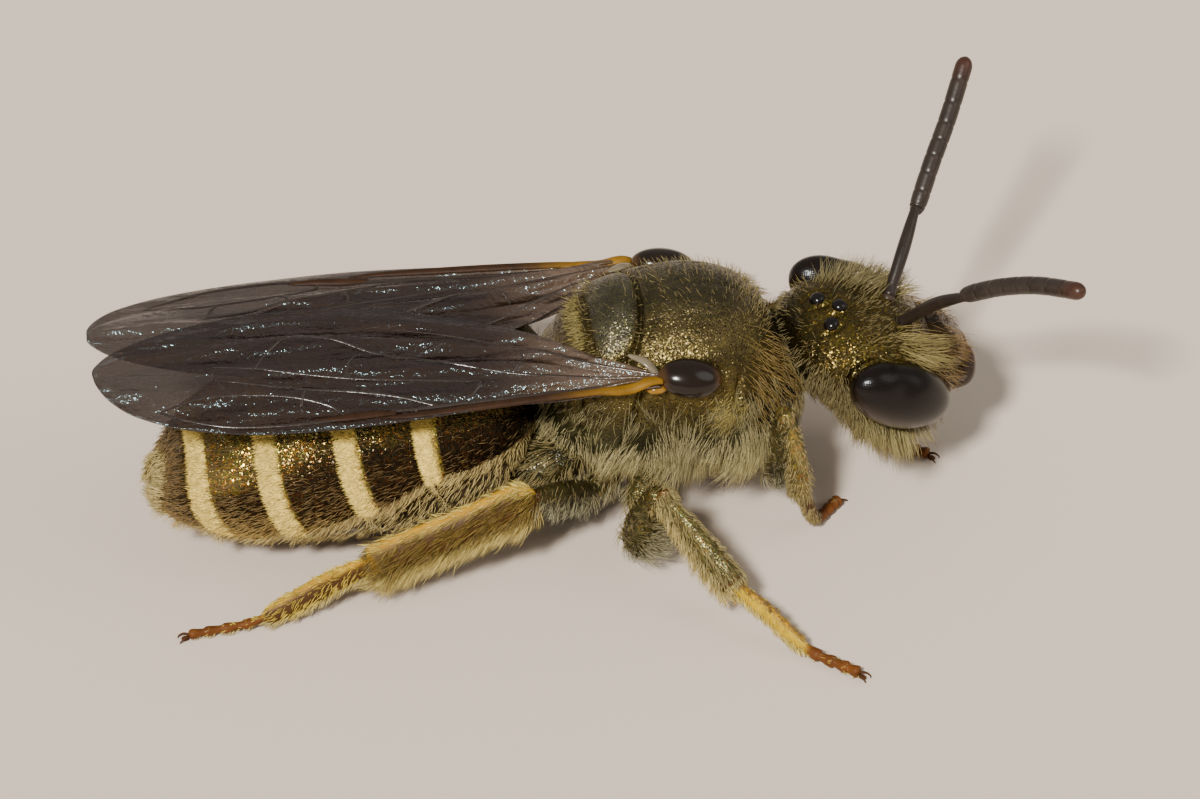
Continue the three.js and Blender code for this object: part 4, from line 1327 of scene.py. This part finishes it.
def coat_thorax(grid):
    """Short upright hair on the back, felt on its rear plate and lobes, and hanging hair on the flanks."""
    x, y, z = np.moveaxis(grid.p, -1, 0)
    rim = 0.5 * smooth_step(0.45, 0.85, x) + 0.8 * bump((x + 0.95) / 0.05)
    beside = 0.8 * bump((x + 0.85) / 0.15, (np.abs(y) - 0.65) / 0.2)
    plain = 1 - 0.8 * bump((x - SCUTELLUM["middle"]) / 0.22)
    back = patch(
        grid, 900, smooth_step(-0.15, 0.05, z) * (0.14 + rim + beside) * plain,
        lambda root: 0.09 + 0.06 * bump((root[:, 0] + 0.95) / 0.1), 0.005, 66, STRAW_HAIR * 0.55,
        lie=lambda root, normal: normal * 0.3 + [-1, 0, 0], bend=0.25,
    )
    metanotum = bump((x + 0.96) / 0.04) * smooth_step(-0.2, 0.0, z) * 0.3
    lobe = bump((x - LOBE[0]) / 0.11, (z - LOBE[1]) / 0.12) * smooth_step(0.5, 0.8, np.abs(y))
    felt = patch(
        grid, 2000, np.maximum(metanotum, lobe), 0.09, 0.008, 32, FELT * [0.3, 0.31, 0.34],
        lie=[-1, 0, -0.5], bend=0.7, steps=2,
    )
    grow("coat_thorax_back", "brassy_cuticle", [back, felt])
    low = 1 - 0.65 * smooth_step(-0.95, -0.6, z) - 0.35 * smooth_step(-0.45, -0.2, z)
    clothed = 1
    for bareness, mid_x, half_x, mid_z, half_z in BARE_PLACES:
        clothed = clothed - bareness * bump((x - mid_x) / half_x, (z - mid_z) / half_z)
    clothed = np.maximum(clothed, 0.05)
    tufted = 0.3 + 0.7 * smooth_step(-0.5, 0.9, np.sin(9 * x + 5 * z) + np.sin(7 * z - 4 * x))
    shoulder = smooth_step(0.45, 0.75, x) * bump((z + 0.35) / 0.35)
    for name, side in SIDES.items():
        flank = patch(
            grid, 5000, smooth_step(0.0, 0.06, side * y) * low * clothed * tufted, flank_length, 0.0048, 34,
            flank_tint, lie=hanging, bend=0.7, droop=0.2, clump=0.85,
        )
        ruff = patch(
            grid, 320, shoulder * smooth_step(0.2, 0.5, side * y), 0.2, 0.006, 44,
            GOLD_HAIR * [0.4, 0.45, 0.5], lie=[0.3, 0, -1], bend=0.6, clump=0.6,
        )
        grow(f"coat_thorax_{name}", "brassy_cuticle", [flank, ruff])


def down_face(spread):
    """A lie of hair down the face that fans out to both sides."""
    return lambda root, normal: -HEAD_AXES[1] + to_head(root)[:, :1] * HEAD_AXES[0] * spread


def cheek_reach(root):
    """How much of its full length the hair of the cheeks has: most of it behind the eyes' lower ends."""
    u = to_head(root)[:, 1]
    return smooth_step(0.5, -0.2, u) * (1 - 0.6 * smooth_step(-0.35, -0.7, u))


def clear_of_eyes(local):
    """1 where hair may root on the head, 0 on and just round the eyes and ocelli."""
    clear = np.ones(local.shape[:2])
    for side in SIDES.values():
        clear *= smooth_step(1.0, 1.06, eye_distance(local, side))
    for a, u in OCELLI:
        away = np.hypot(local[..., 0] - a, local[..., 1] - u)
        clear *= smooth_step(0.09, 0.12, away + (local[..., 2] < -0.1))
    return clear


def coat_head(grid):
    """Dark hair at the mouth, a pale fan on each side of the face, short hair above, and full cheeks."""
    local = to_head(grid.p)
    clear = clear_of_eyes(local)
    a, u, o = np.moveaxis(local, -1, 0)
    aa = np.abs(a)
    face = smooth_step(0.08, 0.25, o)
    clypeus = face * (1 - smooth_step(-0.5, -0.3, u)) * smooth_step(-0.93, -0.84, u)
    clypeus = clypeus * (0.25 + smooth_step(0.1, 0.4, aa))
    beside = face * smooth_step(-0.36, -0.2, u) * (1 - smooth_step(0.1, 0.22, u))
    beside = beside * smooth_step(0.24, 0.36, aa)
    beyond = face * bump((a - 0.55) / 0.2, (u - 0.22) / 0.26)
    brow = face * bump(a / 0.42, (u - 0.3) / 0.22)
    temple = smooth_step(0.0, 0.12, o) * bump((aa - 0.52) / 0.13) * smooth_step(0.0, 0.25, u)
    temple = temple * (1 - smooth_step(0.6, 0.8, u))
    crown = smooth_step(0.35, 0.7, u) * (1 - smooth_step(0.0, 0.14, o)) * smooth_step(-0.4, -0.2, o)
    fan_hair, tall_hair = PALE_HAIR * [0.56, 0.48, 0.28], PALE_HAIR * [0.44, 0.4, 0.28]
    grow("coat_face", "brassy_cuticle", [
        patch(grid, count, clear * place, length, width, rise, tint, lie=lie, **ways)
        for count, place, length, width, rise, tint, lie, ways in (
            (380, clypeus, 0.2, 0.006, 28, UMBER_HAIR * 1.6, down_face(0.6), dict(bend=0.5, clump=0.6)),
            (330, beside, 0.36, 0.0068, 34, fan_hair, down_face(0.75), dict(bend=0.45, clump=0.9)),
            (380, beyond, 0.26, 0.006, 62, tall_hair, down_face(0.2), dict(bend=0.2)),
            (260, brow, 0.055, 0.005, 50, STRAW_HAIR * 0.45, down_face(0.4), dict(bend=0.4)),
            (170, temple, 0.11, 0.005, 66, STRAW_HAIR * 0.5, down_face(0.4), dict(bend=0.3)),
            (160, crown, 0.1, 0.005, 60, STRAW_HAIR * 0.45, -HEAD_AXES[2], dict(bend=0.25)),
        )
    ])
    rear = (1 - smooth_step(-0.22, -0.05, o)) * (0.1 + smooth_step(0.35, 0.65, aa))
    rear = rear * (1 - 0.75 * smooth_step(-0.4, -0.65, u))
    cheeks = patch(
        grid, 3800, clear * rear, lambda root: 0.1 + 0.38 * cheek_reach(root), 0.0065, 56,
        lambda root: paint(STRAW_HAIR * 0.35, PALE_HAIR * [0.6, 0.54, 0.36], cheek_reach(root)),
        lie=np.array([0.3, 0, -0.8]) - 0.3 * HEAD_AXES[2], bend=0.4, droop=0.3, clump=0.75,
    )
    grow("coat_cheeks", "brassy_cuticle", [cheeks])


def disc_tint(root):
    """Dark hair between the bands, paler low on the sides but not at the tail."""
    pale = smooth_step(-1.0, -1.7, root[:, 2]) * (1 - 0.75 * smooth_step(-4.5, -4.75, root[:, 0]))
    return paint(UMBER_HAIR * 1.2, GOLD_HAIR * [0.8, 0.9, 1.0], pale)


def coat_abdomen(grid, x, above):
    """Felt bands before the rims, short hair between them, a brush at the tail, a fringe on the fold."""
    for k, (rim, band) in enumerate(zip(MARGINS, BANDS)):
        mask = smooth_step(0.02, 0.035, x - rim) * (1 - smooth_step(band * 0.88, band, x - rim))
        density = mask[:, None] * above
        if k == 0:  # the first band is thin on the middle of the back
            density = density * (0.12 + 0.88 * smooth_step(0.35, 0.7, np.abs(grid.p[..., 1])))
        felt = patch(grid, 7000, density, 0.075, 0.011, 22, FELT, bend=0.7, steps=2, stray=0.25)
        grow(f"coat_band_{k + 1}", "banded_abdomen", [felt])
    low = 1 - smooth_step(-1.5, -0.6, grid.p[..., 2])
    disc = (1 - band_mask(x))[:, None] * above * (0.15 + low)
    short = patch(grid, 5200, disc, 0.1, 0.007, 24, disc_tint, bend=0.6)
    tail = np.broadcast_to(smooth_step(-4.92, -5.02, x)[:, None], above.shape)
    brush = patch(grid, 1500, tail, 0.17, 0.009, 24, STRAW_HAIR, bend=0.6, clump=0.3)
    grow("coat_abdomen", "banded_abdomen", [short, brush])
    edge = bump((over_fold(x) - 0.02) / 0.06) + 0.16 * (1 - above)
    fringe = patch(
        grid, 7600, edge, lambda root: 0.12 + 0.08 * smooth_step(-2.6, -4.2, root[:, 0]), 0.007, 26,
        STRAW_HAIR * [1.05, 1.02, 1.0], lie=[-1.0, 0, -0.75], bend=0.7, droop=0.15, clump=0.3,
    )
    grow("coat_belly", "banded_abdomen", [fringe])


LEG_COATS = {  # for each part: how many hairs, how long, and how many degrees they stand up
    "hind": {
        "hip": (900, 0.17, 34), "coxa": (300, 0.2, 45), "femur": (450, 0.18, 40), "tibia": (4200, 0.25, 26),
        "tarsus": (1500, 0.13, 30),
    },
    "mid": {
        "coxa": (300, 0.2, 45), "femur": (900, 0.28, 44), "tibia": (2000, 0.18, 32),
        "tarsus": (1300, 0.1, 32),
    },
    "front": {
        "coxa": (260, 0.2, 45), "femur": (500, 0.16, 42), "tibia": (700, 0.12, 30),
        "tarsus": (600, 0.07, 28),
    },
}
THIGH_HAIR = (STRAW_HAIR * 0.6, STRAW_HAIR * 0.5, PALE_HAIR * 0.6)
FRONT_HAIR = (STRAW_HAIR * 0.8, STRAW_HAIR * 0.6, STRAW_HAIR * 0.7)
LEG_HAIR = {  # colours over, beside and under each shin and foot
    ("front", "tibia"): FRONT_HAIR,
    ("front", "tarsus"): FRONT_HAIR,
    ("mid", "tibia"): (STRAW_HAIR * 0.45, STRAW_HAIR * 0.65, PALE_HAIR * [1.1, 0.95, 0.55]),
    ("mid", "tarsus"): (UMBER_HAIR * 1.3, STRAW_HAIR * [1.3, 1.2, 0.4], PALE_HAIR * [1.2, 1.05, 0.5]),
    ("hind", "tibia"): (
        STRAW_HAIR * [1.4, 1.4, 0.9], GOLD_HAIR * [0.34, 0.38, 0.3], PALE_HAIR * [1.1, 0.95, 0.48],
    ),
    ("hind", "tarsus"): (
        STRAW_HAIR * [1.4, 1.35, 0.5], STRAW_HAIR * [1.2, 1.1, 0.4], PALE_HAIR * [1.0, 0.9, 0.6],
    ),
}
HIP_LIE = np.array([-0.7, 0.0, -0.6])  # the hair of the hips lies back and down


def leg_density(key, grid):
    """How dense the hair of a part of a leg is: most of it is underneath."""
    rows = np.linspace(0, 1, len(grid.p))[:, None]
    up = grid.normals()[..., 2]
    below = smooth_step(0.1, -0.6, up)
    if key == "hip":
        return np.ones_like(up)
    if key == "coxa":
        return 0.5 + below
    if key == "femur":
        return 0.12 + below
    if key == "tibia":
        knee = 1 - smooth_step(0.03, 0.12, rows)
        return 0.6 - 0.25 * smooth_step(0.6, 0.85, up) + 1.5 * below + 0.8 * knee
    later = smooth_step(0.5, 0.6, rows)
    return (0.28 + 1.3 * below + 0.8 * smooth_step(0.5, 0.9, up)) * (1 - 0.8 * later)


def leg_reach(key, down, over, along):
    """The hair's length as a share of its full one, from how far its root faces down or up."""
    if key == "femur":
        return 0.6 + 0.8 * down
    if key == "tibia":
        return 0.7 + 0.6 * down - 0.25 * over
    if key == "tarsus":
        return (0.6 + 0.5 * down) * (1 - 0.5 * smooth_step(FIRST_JOINT - 0.05, FIRST_JOINT + 0.05, along))
    return 1.0


def coat_leg(name):
    """Brushes on the shins, longer hair under thighs and shins, and short hair on the feet."""
    pair = name.split("_")[0]
    grids = leg_grids[name]
    share = 1 / len(grids)
    batches = []
    for key, (count, length, rise) in LEG_COATS[pair].items():
        root, normal, along, uv = grids[key].roots(count, leg_density(key, grids[key]))
        down = smooth_step(0.0, -0.6, normal[:, 2])
        over = smooth_step(0.55, 0.8, normal[:, 2])
        top, face, under = LEG_HAIR.get((pair, key), THIGH_HAIR)
        lie = HIP_LIE if key == "hip" else along
        batches.append(dict(
            root=root, normal=normal, lie=lie + [0, 0, -0.25],
            uv=uv * [1, share] + [0, share * list(grids).index(key)],
            length=length * leg_reach(key, down, over, uv[:, 1]), width=0.008, rise=rise + 14 * down,
            tint=face + (top - face) * over[:, None] + (under - face) * down[:, None],
            bend=0.55, clump=0.65,
        ))
    grow(f"coat_leg_{name}", "leg", batches)


# ------------------------------------------------------------------ stage, light and camera
FLOOR_HALF = 0.25  # half the floor's width, in metres
DAYLIGHT = (1.0, 0.96, 0.9)
LAMPS = (("key", -27, 43, 5.8, 7), ("fill", 70, 40, 0.6, 40))  # azimuth, elevation, strength, spread
VIEW = {"azimuth": -8, "elevation": 37, "distance": 80 * MM, "width": 11.54 * MM}
AIM = {"right": -0.73 * MM, "up": -0.79 * MM}  # where the frame's middle lies from the wing line


def direction(azimuth, elevation):
    """The way from the bee to a camera or lamp: azimuth 0 is the bee's right side."""
    a, e = math.radians(azimuth), math.radians(elevation)
    return Vector((math.sin(a) * math.cos(e), -math.cos(a) * math.cos(e), math.sin(e)))


def build_stage():
    """A plain pale floor, a soft sky and two lamps."""
    mesh = bpy.data.meshes.new("floor")
    corners = [(x * FLOOR_HALF, y * FLOOR_HALF, 0) for x, y in ((-1, -1), (1, -1), (1, 1), (-1, 1))]
    mesh.from_pydata(corners, [], [(0, 1, 2, 3)])
    floor = bpy.data.objects.new("floor", mesh)
    bpy.context.scene.collection.objects.link(floor)
    m = Nodes("pale_floor")
    m.set(Base_Color=(0.66, 0.56, 0.47, 1), Roughness=0.8)
    mesh.materials.append(m.material)
    world = bpy.data.worlds.new("studio")
    bpy.context.scene.world = world
    world.use_nodes = True
    sky = world.node_tree.nodes["Background"]
    sky.inputs["Color"].default_value = (1.0, 0.95, 0.88, 1)
    sky.inputs["Strength"].default_value = 0.4
    for name, azimuth, elevation, strength, spread in LAMPS:
        light = bpy.data.lights.new(name, "SUN")
        light.energy, light.angle, light.color = strength, math.radians(spread), DAYLIGHT
        lamp = bpy.data.objects.new(name, light)
        lamp.rotation_euler = direction(azimuth, elevation).to_track_quat("Z", "Y").to_euler()
        bpy.context.scene.collection.objects.link(lamp)


def build_camera():
    """A long lens that looks at the bee's right side from above and a little behind."""
    back = direction(VIEW["azimuth"], VIEW["elevation"])
    right = Vector((0, 0, 1)).cross(back).normalized()
    up = back.cross(right)
    target = Vector(WING_LINE * MM) + right * AIM["right"] + up * AIM["up"]
    lens = bpy.data.cameras.new("camera")
    lens.sensor_width = 36
    lens.lens = lens.sensor_width * VIEW["distance"] / VIEW["width"]
    lens.clip_start, lens.clip_end = 0.002, 5
    camera = bpy.data.objects.new("camera", lens)
    turn = Matrix((right, up, back)).transposed()
    camera.matrix_world = Matrix.Translation(target + back * VIEW["distance"]) @ turn.to_4x4()
    bpy.context.scene.collection.objects.link(camera)
    bpy.context.scene.camera = camera


build_camera()
build_stage()
thorax = build_thorax()
abdomen, abdomen_x, abdomen_above = build_abdomen()
skull = build_head()
build_eyes()
build_ocelli(skull)
build_feelers()
build_mouth()
build_wings()
build_tegulae()
LEG_NAMES = [f"{pair}_{name}" for pair in ("front", "mid", "hind") for name in SIDES]
for leg_name in LEG_NAMES:
    build_leg(leg_name)
coat_thorax(thorax)
coat_head(skull)
coat_abdomen(abdomen, abdomen_x, abdomen_above)
for leg_name in LEG_NAMES:
    coat_leg(leg_name)
